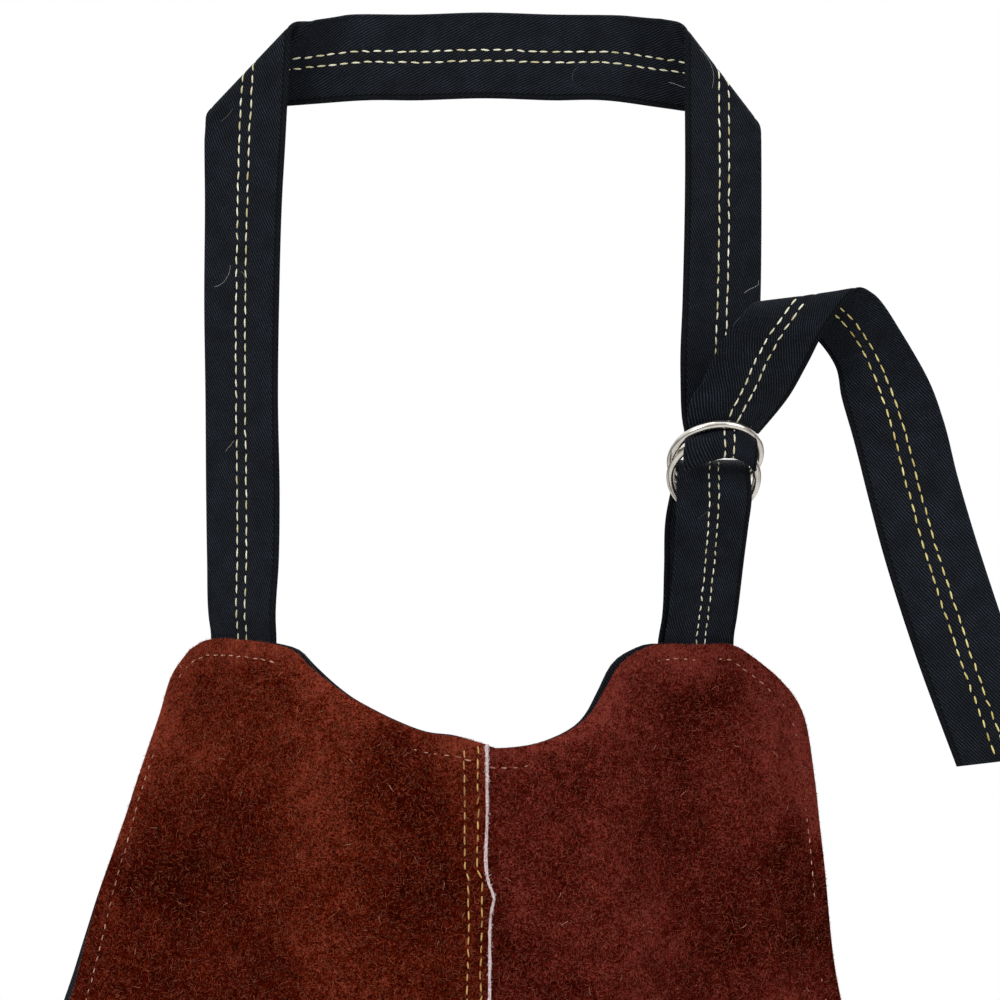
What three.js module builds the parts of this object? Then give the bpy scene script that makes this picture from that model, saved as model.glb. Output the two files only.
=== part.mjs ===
import * as THREE from 'three';

// A bib apron of suede with a twill lining, hung by its neck strap.
// Millimetres, +Z up, +X to the viewer's right, +Y away from the viewer.
// The origin is the middle of the neck strap's back stretch, on the face that lies against the neck.

const STRAP_WIDTH = 44;
const STRAP_HALF = STRAP_WIDTH / 2;
const STRAP_THICKNESS = 2;
const SUEDE_THICKNESS = 1.8;
const LINING_THICKNESS = 1;
const LAYER_GAP = 0.4;
const LAP_GAP = 0.9;
const LINING_GAP = 1.3;

const RING_RADIUS = 22.6;
const WIRE_RADIUS = 1.8;
const RING_SEGMENTS = 40;
const WIRE_SEGMENTS = 8;

const SEAM_LAP = 16;
const SEAM_RAMP = 14;
const SKIVE = 2;

const SEWN_DEPTH = 24;
const LEFT_CORNER_TOP = -295.6;
const RIGHT_CORNER_TOP = -299.4;
const NECK_FOLD_RADIUS = 5;
const TIE_FOLD_RADIUS = 6;
const FOLD_STEPS = 6;

const TIE_HEIGHT = -640;
const TIE_REACH = 32;
const TIE_END = -1190;
const TIE_SEWN_DEPTH = 18;

const UP = new THREE.Vector3(0, 0, 1);

// How far the sheet falls back to each side of the centre seam, level by level.
const DRAPE = [
  { z: -296, middle: -62, leftReach: 122, leftFall: 35, rightReach: 105, rightFall: 48 },
  { z: -380, middle: -65, leftReach: 176, leftFall: 46, rightReach: 166, rightFall: 66 },
  { z: -475, middle: -67, leftReach: 211, leftFall: 52, rightReach: 179, rightFall: 73 },
  { z: -640, middle: -66, leftReach: 276, leftFall: 60, rightReach: 243, rightFall: 80 },
  { z: -900, middle: -62, leftReach: 292, leftFall: 58, rightReach: 274, rightFall: 74 },
  { z: -1147, middle: -60, leftReach: 294, leftFall: 55, rightReach: 278, rightFall: 68 },
];
const LEFT_CURVE = 2.6;
const RIGHT_CURVE = 1.3;
const SLOPE_REACH = 0.5;

// Soft folds that run down the sheet: a rise comes towards the viewer, a fall goes back.
const FOLD_TOP = -300;
const FOLD_BOTTOM = -1147;
const FOLD_FADE = 45;
const FOLD_SPREAD = 1.4;
const FOLDS = [
  { topX: -86, bottomX: -38, width: 22, rise: 4.5, growth: 1.6 },
  { topX: -44, bottomX: 10, width: 24, rise: -4.5, growth: 1.8 },
  { topX: 58, bottomX: 96, width: 20, rise: 3.5, growth: 2.4 },
  { topX: 92, bottomX: 140, width: 22, rise: -3.5, growth: 2.6 },
  { topX: 134, bottomX: 196, width: 24, rise: 3, growth: 2.8 },
  { topX: -150, bottomX: -120, width: 30, rise: -3, growth: 3.2 },
  { topX: -200, bottomX: -205, width: 32, rise: 3, growth: 3 },
];

// The cut edges of the suede. Margin is how far the lining stands out beyond the edge.
const LEFT_TOP_EDGE = [
  { x: -149.6, z: -303.8, margin: 0.3 },
  { x: -139.6, z: -297.6, margin: 0.3 },
  { x: -120, z: LEFT_CORNER_TOP, margin: 0.3 },
  { x: -102, z: -297.6, margin: 0.4 },
  { x: -93, z: -301.9, margin: 0.9 },
  { x: -85.5, z: -308.6, margin: 1.6 },
  { x: -77, z: -315, margin: 1.4 },
  { x: -66, z: -322.5, margin: 0.9 },
  { x: -56, z: -328.2, margin: 0.4 },
  { x: -42.8, z: -334.9, margin: 0.3 },
  { x: -28.2, z: -340, margin: 0.3 },
  { x: -13.6, z: -341.5, margin: 0.2 },
  { x: 1.9, z: -345.4, margin: 0.2 },
];
const RIGHT_TOP_EDGE = [
  { x: -14.1, z: -347, margin: 0.2 },
  { x: 1.9, z: -347.2, margin: 0.2 },
  { x: 15.5, z: -347.2, margin: 0.3 },
  { x: 30.1, z: -344.6, margin: 0.4 },
  { x: 45, z: -338, margin: 0.9 },
  { x: 52.5, z: -331.6, margin: 1.4 },
  { x: 60, z: -320.6, margin: 1.8 },
  { x: 67.6, z: -309, margin: 1.7 },
  { x: 75.3, z: -303.4, margin: 1.1 },
  { x: 85, z: -299.8, margin: 0.4 },
  { x: 107, z: RIGHT_CORNER_TOP, margin: 0.3 },
  { x: 127.3, z: -300.6, margin: 0.3 },
  { x: 139, z: -309, margin: 0.5 },
];
const LEFT_SIDE_EDGE = [
  { x: -149.6, z: -303.8, margin: 0.3 },
  { x: -159, z: -317, margin: 0.4 },
  { x: -164.5, z: -337.7, margin: 0.5 },
  { x: -177.1, z: -378, margin: 1.4 },
  { x: -190.9, z: -418.6, margin: 2.4 },
  { x: -200.4, z: -455, margin: 4.2 },
  { x: -205.6, z: -474, margin: 5.2 },
  { x: -233, z: -540, margin: 4.4 },
  { x: -266, z: -615, margin: 3 },
  { x: -286, z: -700, margin: 1 },
  { x: -291, z: -900, margin: 1 },
  { x: -293, z: -1118, margin: 1 },
  { x: -287, z: -1139, margin: 0.5 },
];
const RIGHT_SIDE_EDGE = [
  { x: 139, z: -309, margin: 0.5 },
  { x: 150.9, z: -319, margin: 0.4 },
  { x: 159.6, z: -329.3, margin: 0.4 },
  { x: 164.3, z: -339.5, margin: 0.4 },
  { x: 168.6, z: -370, margin: 0.4 },
  { x: 173.5, z: -411.6, margin: 0.4 },
  { x: 180.7, z: -474, margin: 0.4 },
  { x: 200, z: -540, margin: 0.4 },
  { x: 236, z: -615, margin: 0.4 },
  { x: 262, z: -700, margin: 0.4 },
  { x: 273, z: -900, margin: 0.4 },
  { x: 277, z: -1118, margin: 0.4 },
  { x: 271, z: -1139, margin: 0.5 },
];
const SEAM_EDGE = [
  { x: 1.9, z: -345.4 },
  { x: 1.9, z: -408 },
  { x: 5.4, z: -420 },
  { x: 3.3, z: -448 },
  { x: 3.3, z: -800 },
  { x: 3.3, z: -1147 },
];
const LEFT_HEM = [
  { x: -287, z: -1139, margin: 0.5 },
  { x: -268, z: -1147, margin: -1 },
  { x: -130, z: -1148, margin: -1 },
  { x: 3.3, z: -1147, margin: -1 },
];
const RIGHT_HEM = [
  { x: -12.7, z: -1147, margin: -1 },
  { x: 130, z: -1148, margin: -1 },
  { x: 252, z: -1147, margin: -1 },
  { x: 271, z: -1139, margin: 0.5 },
];

// The neck strap, station by station. Turn is how far the edge away from the neck lies back, in degrees.
// A fold's crease is given by the way from its middle to its upper end.
const LEFT_SEWN_X = -121.8;
const LEFT_STRAND = [
  { x: -120.7, y: -27, z: -286, turn: 35, steps: 2 },
  { x: -120.3, y: -27, z: -257, turn: 30, steps: 2 },
  { x: -120.3, y: -27, z: -227, turn: 28, steps: 2 },
  { x: -121, y: -26, z: -177, turn: 29, steps: 2 },
  { x: -121, y: -26, z: -127, turn: 26, steps: 2 },
  { x: -120.2, y: -25, z: -77, turn: 23, steps: 2 },
  { x: -119.4, y: -25, z: -46, turn: 17, steps: 2 },
];
const NECK_FOLD_LEFT = { x: -116.6, y: -25, z: -10.5, creaseX: 22, creaseZ: 21.5, turn: 14 };
const NECK_BACK = [
  { x: -86, y: -9.5, z: -4.6, lean: 95, steps: 2 },
  { x: -40, y: 0, z: -1.4, lean: 92, steps: 2 },
  { x: 0, y: 1, z: 0, lean: 90, steps: 2 },
  { x: 40, y: 0, z: -1.4, lean: 88, steps: 2 },
  { x: 88, y: -9.5, z: -5.4, lean: 85, steps: 2 },
];
const NECK_FOLD_RIGHT = { x: 118.5, y: -25, z: -13.3, creaseX: 20, creaseZ: 23.4, turn: 24 };
const RIGHT_STRAND = [
  { x: 119.9, y: -25, z: -46, turn: 25, steps: 2 },
  { x: 119.9, y: -25, z: -77, turn: 24.5, steps: 2 },
  { x: 118.9, y: -27, z: -127, turn: 23, steps: 2 },
];

// Through the rings and out as the tail: edge is the way to the strap's left edge, bow bends both edges away.
const RING_PASSAGE = [
  { x: 117, y: -33.5, z: -165, edgeX: -20, edgeY: -9, edgeZ: 0, bowY: 0, bowZ: 0, steps: 2 },
  { x: 116.6, y: -36, z: -184, edgeX: -18, edgeY: -5.5, edgeZ: 0, bowY: 2.6, bowZ: -3, steps: 2 },
  { x: 116.2, y: -37.7, z: -194, edgeX: -15, edgeY: -3.4, edgeZ: 0, bowY: 2.5, bowZ: -5, steps: 1 },
];
const WRAP = { x: 116.2, y: -42.2, z: -198.2, radius: 4.1, edgeX: -14.2, edgeY: -3.4, bowY: 2.1, bowZ: -5 };
const WRAP_DIP = 2.3;
const WRAP_DROP = 7.6;
const WRAP_TURNS = [0, 45, 90, 135, 180, 212];
const TAIL = [
  { x: 117.4, y: -40.7, z: -190.9, edgeX: -14.4, edgeY: -2.6, edgeZ: 0.4, bowY: 7.2, bowZ: -5, steps: 1 },
  { x: 119.2, y: -41.6, z: -187, edgeX: -18.6, edgeY: -5, edgeZ: 4.2, bowY: 4.4, bowZ: -1.5, steps: 2 },
  { x: 128, y: -47, z: -174, edgeX: -21, edgeY: -6, edgeZ: 4.6, bowY: 2, bowZ: 0, steps: 2 },
  { x: 136.6, y: -59, z: -156, edgeX: -21.4, edgeY: -5, edgeZ: 5, bowY: 0, bowZ: 0, steps: 2 },
  { x: 144.4, y: -68, z: -142, edgeX: -21.6, edgeY: -5, edgeZ: 2.2, bowY: 0, bowZ: 0, steps: 2 },
  { x: 156.4, y: -65, z: -129.4, edgeX: -23.4, edgeY: 0, edgeZ: -2.9, bowY: 0, bowZ: 0, steps: 2 },
  { x: 171, y: -55, z: -133.6, edgeX: -17.4, edgeY: 9, edgeZ: -6, bowY: 0, bowZ: 0, steps: 2 },
  { x: 188.6, y: -47.5, z: -153.4, edgeX: -14.8, edgeY: 11.6, edgeZ: -6.6, bowY: 0, bowZ: 0, steps: 2 },
  { x: 197, y: -47, z: -173, edgeX: -20.4, edgeY: 6, edgeZ: -4, bowY: 0, bowZ: 0, steps: 2 },
  { x: 203.1, y: -49, z: -192.6, edgeX: -21.6, edgeY: 3, edgeZ: -4.4, bowY: 0, bowZ: 0, steps: 2 },
  { x: 209.4, y: -54, z: -220.8, edgeX: -21.7, edgeY: 0, edgeZ: -5.6, bowY: 0, bowZ: 0, steps: 2 },
  { x: 215, y: -58, z: -243.8, edgeX: -21.8, edgeY: 0, edgeZ: -6, bowY: 0, bowZ: 0, steps: 2 },
  { x: 229.6, y: -65, z: -293.5, edgeX: -21.8, edgeY: 0, edgeZ: -6.2, bowY: 0, bowZ: 0, steps: 2 },
  { x: 250, y: -69, z: -352.9, edgeX: -22.3, edgeY: 0, edgeZ: -2.6, bowY: 0, bowZ: 0, steps: 1 },
];

// The ring tab, up its front layer, over the crest and down its back layer.
const TAB_SEWN_X = 109.4;
const TAB = [
  { x: 110.4, y: -16.5, z: -286, turn: 28, half: 20.6, steps: 2 },
  { x: 112.8, y: -25.5, z: -257, turn: 20, half: 19.2, steps: 2 },
  { x: 113.6, y: -33.5, z: -239, turn: 9, half: 18.6, steps: 2 },
  { x: 114.4, y: -36, z: -227, turn: 3, half: 18.6, steps: 2 },
  { x: 114.7, y: -33, z: -216, turn: 3, half: 17.6, steps: 2 },
  { x: 115, y: -27.5, z: -210, turn: 5, half: 17.4, steps: 2 },
  { x: 115, y: -20.5, z: -208, turn: 6, half: 17.4, steps: 2 },
  { x: 114.6, y: -13, z: -210.5, turn: 8, half: 17.6, steps: 2 },
  { x: 113.8, y: -7.5, z: -218, turn: 10, half: 18.4, steps: 2 },
  { x: 111.4, y: -5.5, z: -236, turn: 16, half: 20.2, steps: 2 },
  { x: 110.6, y: -6.5, z: -262, turn: 24, half: 21.6, steps: 2 },
  { x: 108.8, y: -9.6, z: -286, turn: 29, half: 22, steps: 2 },
];

// The rings: lean tips the top towards the viewer, roll lifts the right side, turn sets the right side back.
const FRONT_RING = { x: 114.6, y: -32.5, z: -218.5, lean: 26, roll: 0, turn: 13 };
const REAR_RING = { x: 115.3, y: -30, z: -207.1, lean: 42, roll: 15, turn: 0 };

// Colours and finishes, as seen.
const SUEDE_LEFT_COLOUR = 0x5c2419;
const SUEDE_RIGHT_COLOUR = 0x552023;
const TWILL_COLOUR = 0x191b22;
const LINING_COLOUR = 0x15161b;
const NICKEL_COLOUR = 0xcfccc6;
const SUEDE_ROUGHNESS = 0.95;
const TWILL_ROUGHNESS = 0.85;
const LINING_ROUGHNESS = 0.9;
const NICKEL_ROUGHNESS = 0.25;

// Grid sizes of the sheets.
const PANEL_COLUMNS = 14;
const PANEL_ROWS = 30;
const SEAM_COLUMNS = 1;
const ROW_CROWDING = 1.35;
const STRAP_COLUMNS = [-1, -0.5, 0, 0.5, 1];

const radians = THREE.MathUtils.degToRad;
const smooth = (t) => THREE.MathUtils.smoothstep(t, 0, 1);

// The sheet's shape at one level, read smoothly from the table.
function drapeAt(z) {
  let upper = 0;
  while (upper < DRAPE.length - 2 && z < DRAPE[upper + 1].z) {
    upper += 1;
  }
  const above = DRAPE[upper];
  const below = DRAPE[upper + 1];
  const share = smooth((above.z - z) / (above.z - below.z));
  const mix = (column) => THREE.MathUtils.lerp(above[column], below[column], share);
  return {
    middle: mix('middle'),
    leftReach: mix('leftReach'),
    leftFall: mix('leftFall'),
    rightReach: mix('rightReach'),
    rightFall: mix('rightFall'),
  };
}

function foldsAt(x, z) {
  const down = THREE.MathUtils.clamp((FOLD_TOP - z) / (FOLD_TOP - FOLD_BOTTOM), 0, 1);
  const fade = smooth((FOLD_TOP - z) / FOLD_FADE);
  let total = 0;
  for (const fold of FOLDS) {
    const centre = THREE.MathUtils.lerp(fold.topX, fold.bottomX, down);
    const height = fold.rise * THREE.MathUtils.lerp(1, fold.growth, down);
    const spread = fold.width * THREE.MathUtils.lerp(1, FOLD_SPREAD, down);
    total += height * Math.exp(-(((x - centre) / spread) ** 2));
  }
  return total * fade;
}

function drapeDepth(x, z) {
  const level = drapeAt(z);
  const offset = x - SEAM_EDGE[0].x;
  const fall = offset < 0
    ? level.leftFall * (-offset / level.leftReach) ** LEFT_CURVE
    : level.rightFall * (offset / level.rightReach) ** RIGHT_CURVE;
  return level.middle + fall - foldsAt(x, z);
}

// A point of the sheet, moved square to it: behind is positive away from the viewer.
function onDrape(x, z, behind) {
  const slopeX = (drapeDepth(x + SLOPE_REACH, z) - drapeDepth(x - SLOPE_REACH, z)) / (2 * SLOPE_REACH);
  const slopeZ = (drapeDepth(x, z + SLOPE_REACH) - drapeDepth(x, z - SLOPE_REACH)) / (2 * SLOPE_REACH);
  const away = new THREE.Vector3(-slopeX, 1, -slopeZ).normalize();
  return new THREE.Vector3(x, drapeDepth(x, z), z).addScaledVector(away, behind);
}

// A smooth curve through rows of x and z. Its Y holds the margin.
function edgeCurve(rows) {
  const points = rows.map((row) => new THREE.Vector3(row.x, row.margin ?? 0, row.z));
  return new THREE.CatmullRomCurve3(points, false, 'centripetal');
}

// The lining's places: those of both panels side by side, with the outer ones moved outwards by their margins.
function liningPlaces(left, right) {
  const joined = left.map((line, row) => [...line.slice(0, -1), ...right[row].slice(SEAM_COLUMNS)]);
  const lastRow = joined.length - 1;
  const lastColumn = joined[0].length - 1;
  const moved = (place, before, after, side) => {
    const run = new THREE.Vector2(after.x - before.x, after.z - before.z).normalize();
    return new THREE.Vector3(place.x - side * run.y * place.y, 0, place.z + side * run.x * place.y);
  };
  return joined.map((line, row) => line.map((place, column) => {
    if (row === 0 || row === lastRow) {
      const next = line[Math.min(column + 1, lastColumn)];
      return moved(place, line[Math.max(column - 1, 0)], next, row === 0 ? 1 : -1);
    }
    if (column === 0 || column === lastColumn) {
      return moved(place, joined[row - 1][column], joined[row + 1][column], column === 0 ? -1 : 1);
    }
    return place;
  }));
}

// Fills four edge curves with a grid of places, crowded towards the top.
function fillEdges(top, bottom, left, right, columns, rows) {
  const grid = [];
  for (let row = 0; row <= rows; row += 1) {
    const v = (row / rows) ** ROW_CROWDING;
    const line = [];
    for (let column = 0; column <= columns; column += 1) {
      const u = column / columns;
      const place = top.getPointAt(u).multiplyScalar(1 - v);
      place.addScaledVector(bottom.getPointAt(u), v);
      place.addScaledVector(left.getPointAt(v), 1 - u);
      place.addScaledVector(right.getPointAt(v), u);
      place.addScaledVector(top.getPointAt(0), -(1 - u) * (1 - v));
      place.addScaledVector(top.getPointAt(1), -u * (1 - v));
      place.addScaledVector(bottom.getPointAt(0), -(1 - u) * v);
      place.addScaledVector(bottom.getPointAt(1), -u * v);
      line.push(place);
    }
    grid.push(line);
  }
  return grid;
}

// Closes two grids of points, one for each face, into a solid wall.
function wallGeometry(front, back) {
  const rows = front.length;
  const columns = front[0].length;
  const positions = [];
  for (const grid of [front, back]) {
    for (const line of grid) {
      for (const point of line) {
        positions.push(point.x, point.y, point.z);
      }
    }
  }
  const backStart = rows * columns;
  const at = (row, column) => row * columns + column;
  const indices = [];
  const quad = (a, b, c, d) => indices.push(a, b, c, a, c, d);
  for (let row = 0; row < rows - 1; row += 1) {
    for (let column = 0; column < columns - 1; column += 1) {
      const corners = [at(row, column), at(row + 1, column), at(row + 1, column + 1), at(row, column + 1)];
      quad(...corners);
      quad(...corners.map((corner) => corner + backStart).reverse());
    }
  }
  const rim = [];
  for (let column = 0; column < columns; column += 1) {
    rim.push(at(0, column));
  }
  for (let row = 1; row < rows; row += 1) {
    rim.push(at(row, columns - 1));
  }
  for (let column = columns - 2; column >= 0; column -= 1) {
    rim.push(at(rows - 1, column));
  }
  for (let row = rows - 2; row > 0; row -= 1) {
    rim.push(at(row, 0));
  }
  rim.forEach((corner, index) => {
    const next = rim[(index + 1) % rim.length];
    quad(corner, next, next + backStart, corner + backStart);
  });
  const geometry = new THREE.BufferGeometry();
  geometry.setAttribute('position', new THREE.Float32BufferAttribute(positions, 3));
  geometry.setIndex(volumeOf(positions, indices) < 0 ? indices.reverse() : indices);
  geometry.computeVertexNormals();
  return geometry;
}

// Six times the volume inside the triangles, negative where they face inwards.
function volumeOf(positions, indices) {
  const corner = (index) => new THREE.Vector3().fromArray(positions, index * 3);
  let total = 0;
  for (let index = 0; index < indices.length; index += 3) {
    const first = corner(indices[index]);
    total += first.dot(corner(indices[index + 1]).cross(corner(indices[index + 2])));
  }
  return total;
}

// A sheet over a grid of places. Behind and skive give each place its layer and its edge's slant.
function sheetGeometry(grid, thickness, behind, skive = 0) {
  const last = grid[0].length - 1;
  const face = (side) => grid.map((line) => line.map((place, column) => {
    const slant = column === last ? side * skive / 2 : 0;
    return onDrape(place.x + slant, place.z, behind(place.x, place.z) + side * thickness / 2);
  }));
  return wallGeometry(face(-1), face(1));
}

// A station of a strap: its middle, the way to one edge, and how far both edges are bowed.
function station(middle, edge, bow = new THREE.Vector3(), steps = 1) {
  return { middle, edge, bow, steps };
}

// A station that lies on the sheet, between the suede and the lining.
function sewnStation(x, z, edgeX, edgeZ, behind, steps = 2) {
  const middle = onDrape(x, z, behind);
  const near = onDrape(x + edgeX, z + edgeZ, behind);
  const far = onDrape(x - edgeX, z - edgeZ, behind);
  const edge = near.clone().sub(far).multiplyScalar(0.5);
  const bow = near.clone().add(far).multiplyScalar(0.5).sub(middle);
  return station(middle, edge, bow, steps);
}

// A slanted fold: the strap runs along, turns over a round crease and runs on behind itself.
function slantedFold(middle, ruling, along, behind, radius) {
  const crease = ruling.clone().normalize();
  const outward = along.clone().addScaledVector(crease, -along.dot(crease)).normalize();
  const advance = radius * along.dot(crease) / along.dot(outward);
  const stations = [];
  for (let step = 0; step <= FOLD_STEPS; step += 1) {
    const angle = Math.PI * step / FOLD_STEPS;
    const place = middle.clone().addScaledVector(outward, radius * (Math.sin(angle) - 1));
    place.addScaledVector(behind, radius * (1 - Math.cos(angle)));
    place.addScaledVector(crease, advance * (angle - Math.PI / 2));
    stations.push(station(place, ruling.clone()));
  }
  return stations;
}

// Smooth values between stations, spaced by the distance from middle to middle.
function refine(stations) {
  const distance = stations.slice(1).map((next, index) => next.middle.distanceTo(stations[index].middle));
  const tangent = (index, column) => {
    const here = stations[index][column];
    const before = stations[Math.max(index - 1, 0)][column];
    const after = stations[Math.min(index + 1, stations.length - 1)][column];
    const spanBefore = distance[Math.max(index - 1, 0)];
    const spanAfter = distance[Math.min(index, distance.length - 1)];
    const comingIn = here.clone().sub(before).multiplyScalar(spanAfter / spanBefore);
    const goingOut = after.clone().sub(here).multiplyScalar(spanBefore / spanAfter);
    return comingIn.add(goingOut).multiplyScalar(1 / (spanBefore + spanAfter));
  };
  const between = (index, column, t) => {
    const span = distance[index];
    const result = stations[index][column].clone().multiplyScalar(2 * t ** 3 - 3 * t ** 2 + 1);
    result.addScaledVector(tangent(index, column), span * (t ** 3 - 2 * t ** 2 + t));
    result.addScaledVector(stations[index + 1][column], 3 * t ** 2 - 2 * t ** 3);
    result.addScaledVector(tangent(index + 1, column), span * (t ** 3 - t ** 2));
    return result;
  };
  const refined = [];
  distance.forEach((_, index) => {
    for (let step = 0; step < stations[index].steps; step += 1) {
      const t = step / stations[index].steps;
      refined.push(station(between(index, 'middle', t), between(index, 'edge', t), between(index, 'bow', t)));
    }
  });
  refined.push(stations[stations.length - 1]);
  return refined;
}

// A strap of even thickness through its stations.
function strapGeometry(stations) {
  const lines = refine(stations).map((here) => STRAP_COLUMNS.map((share) => {
    const point = here.middle.clone().addScaledVector(here.edge, share);
    return point.addScaledVector(here.bow, share ** 2);
  }));
  const face = (side) => lines.map((line, row) => line.map((point, column) => {
    const above = lines[Math.max(row - 1, 0)][column];
    const below = lines[Math.min(row + 1, lines.length - 1)][column];
    const left = line[Math.max(column - 1, 0)];
    const right = line[Math.min(column + 1, line.length - 1)];
    const normal = right.clone().sub(left).cross(below.clone().sub(above)).normalize();
    return point.clone().addScaledVector(normal, side * STRAP_THICKNESS / 2);
  }));
  return wallGeometry(face(-1), face(1));
}

// The edge of a strap that is turned so that its outer edge lies back; inward is +1 or -1 along X.
function turnedEdge(turn, inward, half = STRAP_HALF) {
  const angle = radians(turn);
  return new THREE.Vector3(inward * Math.cos(angle), -Math.sin(angle), 0).multiplyScalar(half);
}

function turnedStation(row, inward) {
  const middle = new THREE.Vector3(row.x, row.y, row.z);
  const edge = turnedEdge(row.turn, inward, row.half);
  return station(middle, edge, new THREE.Vector3(), row.steps);
}

function rowStation(row) {
  const middle = new THREE.Vector3(row.x, row.y, row.z);
  const edge = new THREE.Vector3(row.edgeX, row.edgeY, row.edgeZ);
  return station(middle, edge, new THREE.Vector3(0, row.bowY, row.bowZ), row.steps);
}

function neckFold(fold, inward) {
  const angle = radians(fold.turn);
  const behind = new THREE.Vector3(inward * Math.sin(angle), Math.cos(angle), 0);
  const middle = new THREE.Vector3(fold.x, fold.y, fold.z);
  const ruling = new THREE.Vector3(inward * fold.creaseX, -fold.creaseX * Math.tan(angle), fold.creaseZ);
  return slantedFold(middle, ruling, UP, behind, NECK_FOLD_RADIUS);
}

const STRAP_LAYER = SUEDE_THICKNESS / 2 + LAYER_GAP + STRAP_THICKNESS / 2;
const STRAP_STEP = STRAP_THICKNESS + LAYER_GAP;
const SECOND_STRAP_LAYER = STRAP_LAYER + STRAP_STEP;
const LINING_LAYER = SUEDE_THICKNESS / 2 + LINING_GAP + LINING_THICKNESS / 2;

// The heights of a strap's sewn end, from its cut end up to the edge of the suede.
function sewnHeights(edge) {
  return [edge - SEWN_DEPTH, edge - SEWN_DEPTH / 2, edge];
}

function neckStrapStations() {
  const leftHalf = STRAP_HALF * Math.cos(radians(LEFT_STRAND[0].turn));
  const heights = sewnHeights(LEFT_CORNER_TOP);
  const leftEnd = heights.map((z) => sewnStation(LEFT_SEWN_X, z, leftHalf, 0, STRAP_LAYER));
  const back = NECK_BACK.map((row) => {
    const edge = new THREE.Vector3(Math.cos(radians(row.lean)), 0, Math.sin(radians(row.lean)));
    const middle = new THREE.Vector3(row.x, row.y, row.z);
    return station(middle, edge.multiplyScalar(STRAP_HALF), new THREE.Vector3(), row.steps);
  });
  const wrap = WRAP_TURNS.map((turn) => {
    const middle = new THREE.Vector3(WRAP.x, WRAP.y, WRAP.z);
    middle.y += WRAP.radius * Math.cos(radians(turn));
    middle.z -= Math.sin(radians(turn)) * (turn < 180 ? WRAP_DROP : WRAP.radius);
    const edge = new THREE.Vector3(WRAP.edgeX, WRAP.edgeY, 0);
    const dip = WRAP_DIP * Math.sin(radians(turn));
    return station(middle, edge, new THREE.Vector3(0, WRAP.bowY, WRAP.bowZ - dip));
  });
  return [
    ...leftEnd,
    ...LEFT_STRAND.map((row) => turnedStation(row, 1)),
    ...neckFold(NECK_FOLD_LEFT, 1),
    ...back,
    ...neckFold(NECK_FOLD_RIGHT, -1).reverse(),
    ...RIGHT_STRAND.map((row) => turnedStation(row, -1)),
    ...RING_PASSAGE.map(rowStation),
    ...wrap,
    ...TAIL.map(rowStation),
  ];
}

function ringTabStations() {
  const half = -STRAP_HALF * Math.cos(radians(TAB[0].turn));
  const heights = sewnHeights(RIGHT_CORNER_TOP);
  const front = heights.map((z) => sewnStation(TAB_SEWN_X, z, half, 0, STRAP_LAYER));
  const back = heights.map((z) => sewnStation(TAB_SEWN_X, z, half, 0, SECOND_STRAP_LAYER)).reverse();
  return [...front, ...TAB.map((row) => turnedStation(row, -1)), ...back];
}

// A waist tie: sewn in at the side, turned over a slanted fold, hanging straight down.
function waistTieStations(side) {
  const edgeX = sideEdgeX(side, TIE_HEIGHT);
  const sewnX = [edgeX - side * TIE_SEWN_DEPTH, edgeX - side * TIE_SEWN_DEPTH / 2, edgeX];
  const sewn = sewnX.map((x) => sewnStation(x, TIE_HEIGHT, 0, STRAP_HALF, STRAP_LAYER, 1));
  const leaving = sewn[2].middle.clone().sub(sewn[1].middle).setZ(0).normalize();
  const behind = new THREE.Vector3(-leaving.y * side, leaving.x * side, 0);
  const middle = sewn[2].middle.clone().addScaledVector(leaving, TIE_REACH);
  const ruling = UP.clone().sub(leaving).multiplyScalar(STRAP_HALF);
  const fold = slantedFold(middle, ruling, leaving, behind, TIE_FOLD_RADIUS);
  const bottom = fold[FOLD_STEPS].middle.clone();
  const hanging = [TIE_HEIGHT - STRAP_WIDTH, (TIE_HEIGHT + TIE_END) / 2, TIE_END].map((z) => station(
    new THREE.Vector3(bottom.x, bottom.y, z),
    leaving.clone().multiplyScalar(-STRAP_HALF),
    new THREE.Vector3(),
    2,
  ));
  return [...sewn, ...fold, ...hanging];
}

// Where the suede's side edge lies at one height; side is -1 for left and +1 for right.
function sideEdgeX(side, height) {
  const rows = side < 0 ? LEFT_SIDE_EDGE : RIGHT_SIDE_EDGE;
  const below = rows.findIndex((row) => row.z <= height);
  const upper = rows[below - 1];
  const lower = rows[below];
  return THREE.MathUtils.mapLinear(height, upper.z, lower.z, upper.x, lower.x);
}

// How far the lining is held off where a strap's sewn end lies in front of it.
const SEWN_BUMPS = [
  { x: LEFT_SEWN_X, z: LEFT_CORNER_TOP - SEWN_DEPTH / 2, halfX: 24, halfZ: 20, height: STRAP_STEP },
  { x: TAB_SEWN_X, z: RIGHT_CORNER_TOP - SEWN_DEPTH / 2, halfX: 26, halfZ: 20, height: 2 * STRAP_STEP },
  { x: sideEdgeX(-1, TIE_HEIGHT), z: TIE_HEIGHT, halfX: 34, halfZ: 44, height: STRAP_STEP },
  { x: sideEdgeX(1, TIE_HEIGHT), z: TIE_HEIGHT, halfX: 34, halfZ: 44, height: STRAP_STEP },
];
const BUMP_RAMP = 40;

function liningBehind(x, z) {
  let bump = 0;
  for (const place of SEWN_BUMPS) {
    const beyondX = Math.max(Math.abs(x - place.x) - place.halfX, 0);
    const beyondZ = Math.max(Math.abs(z - place.z) - place.halfZ, 0);
    bump = Math.max(bump, place.height * (1 - smooth(Math.hypot(beyondX, beyondZ) / BUMP_RAMP)));
  }
  return LINING_LAYER + bump;
}

// The left panel rises over the right one along the lapped seam.
function leftPanelBehind(x) {
  const start = SEAM_EDGE[0].x - SEAM_LAP - SEAM_RAMP;
  return -(SUEDE_THICKNESS + LAP_GAP) * smooth((x - start) / SEAM_RAMP);
}

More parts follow.
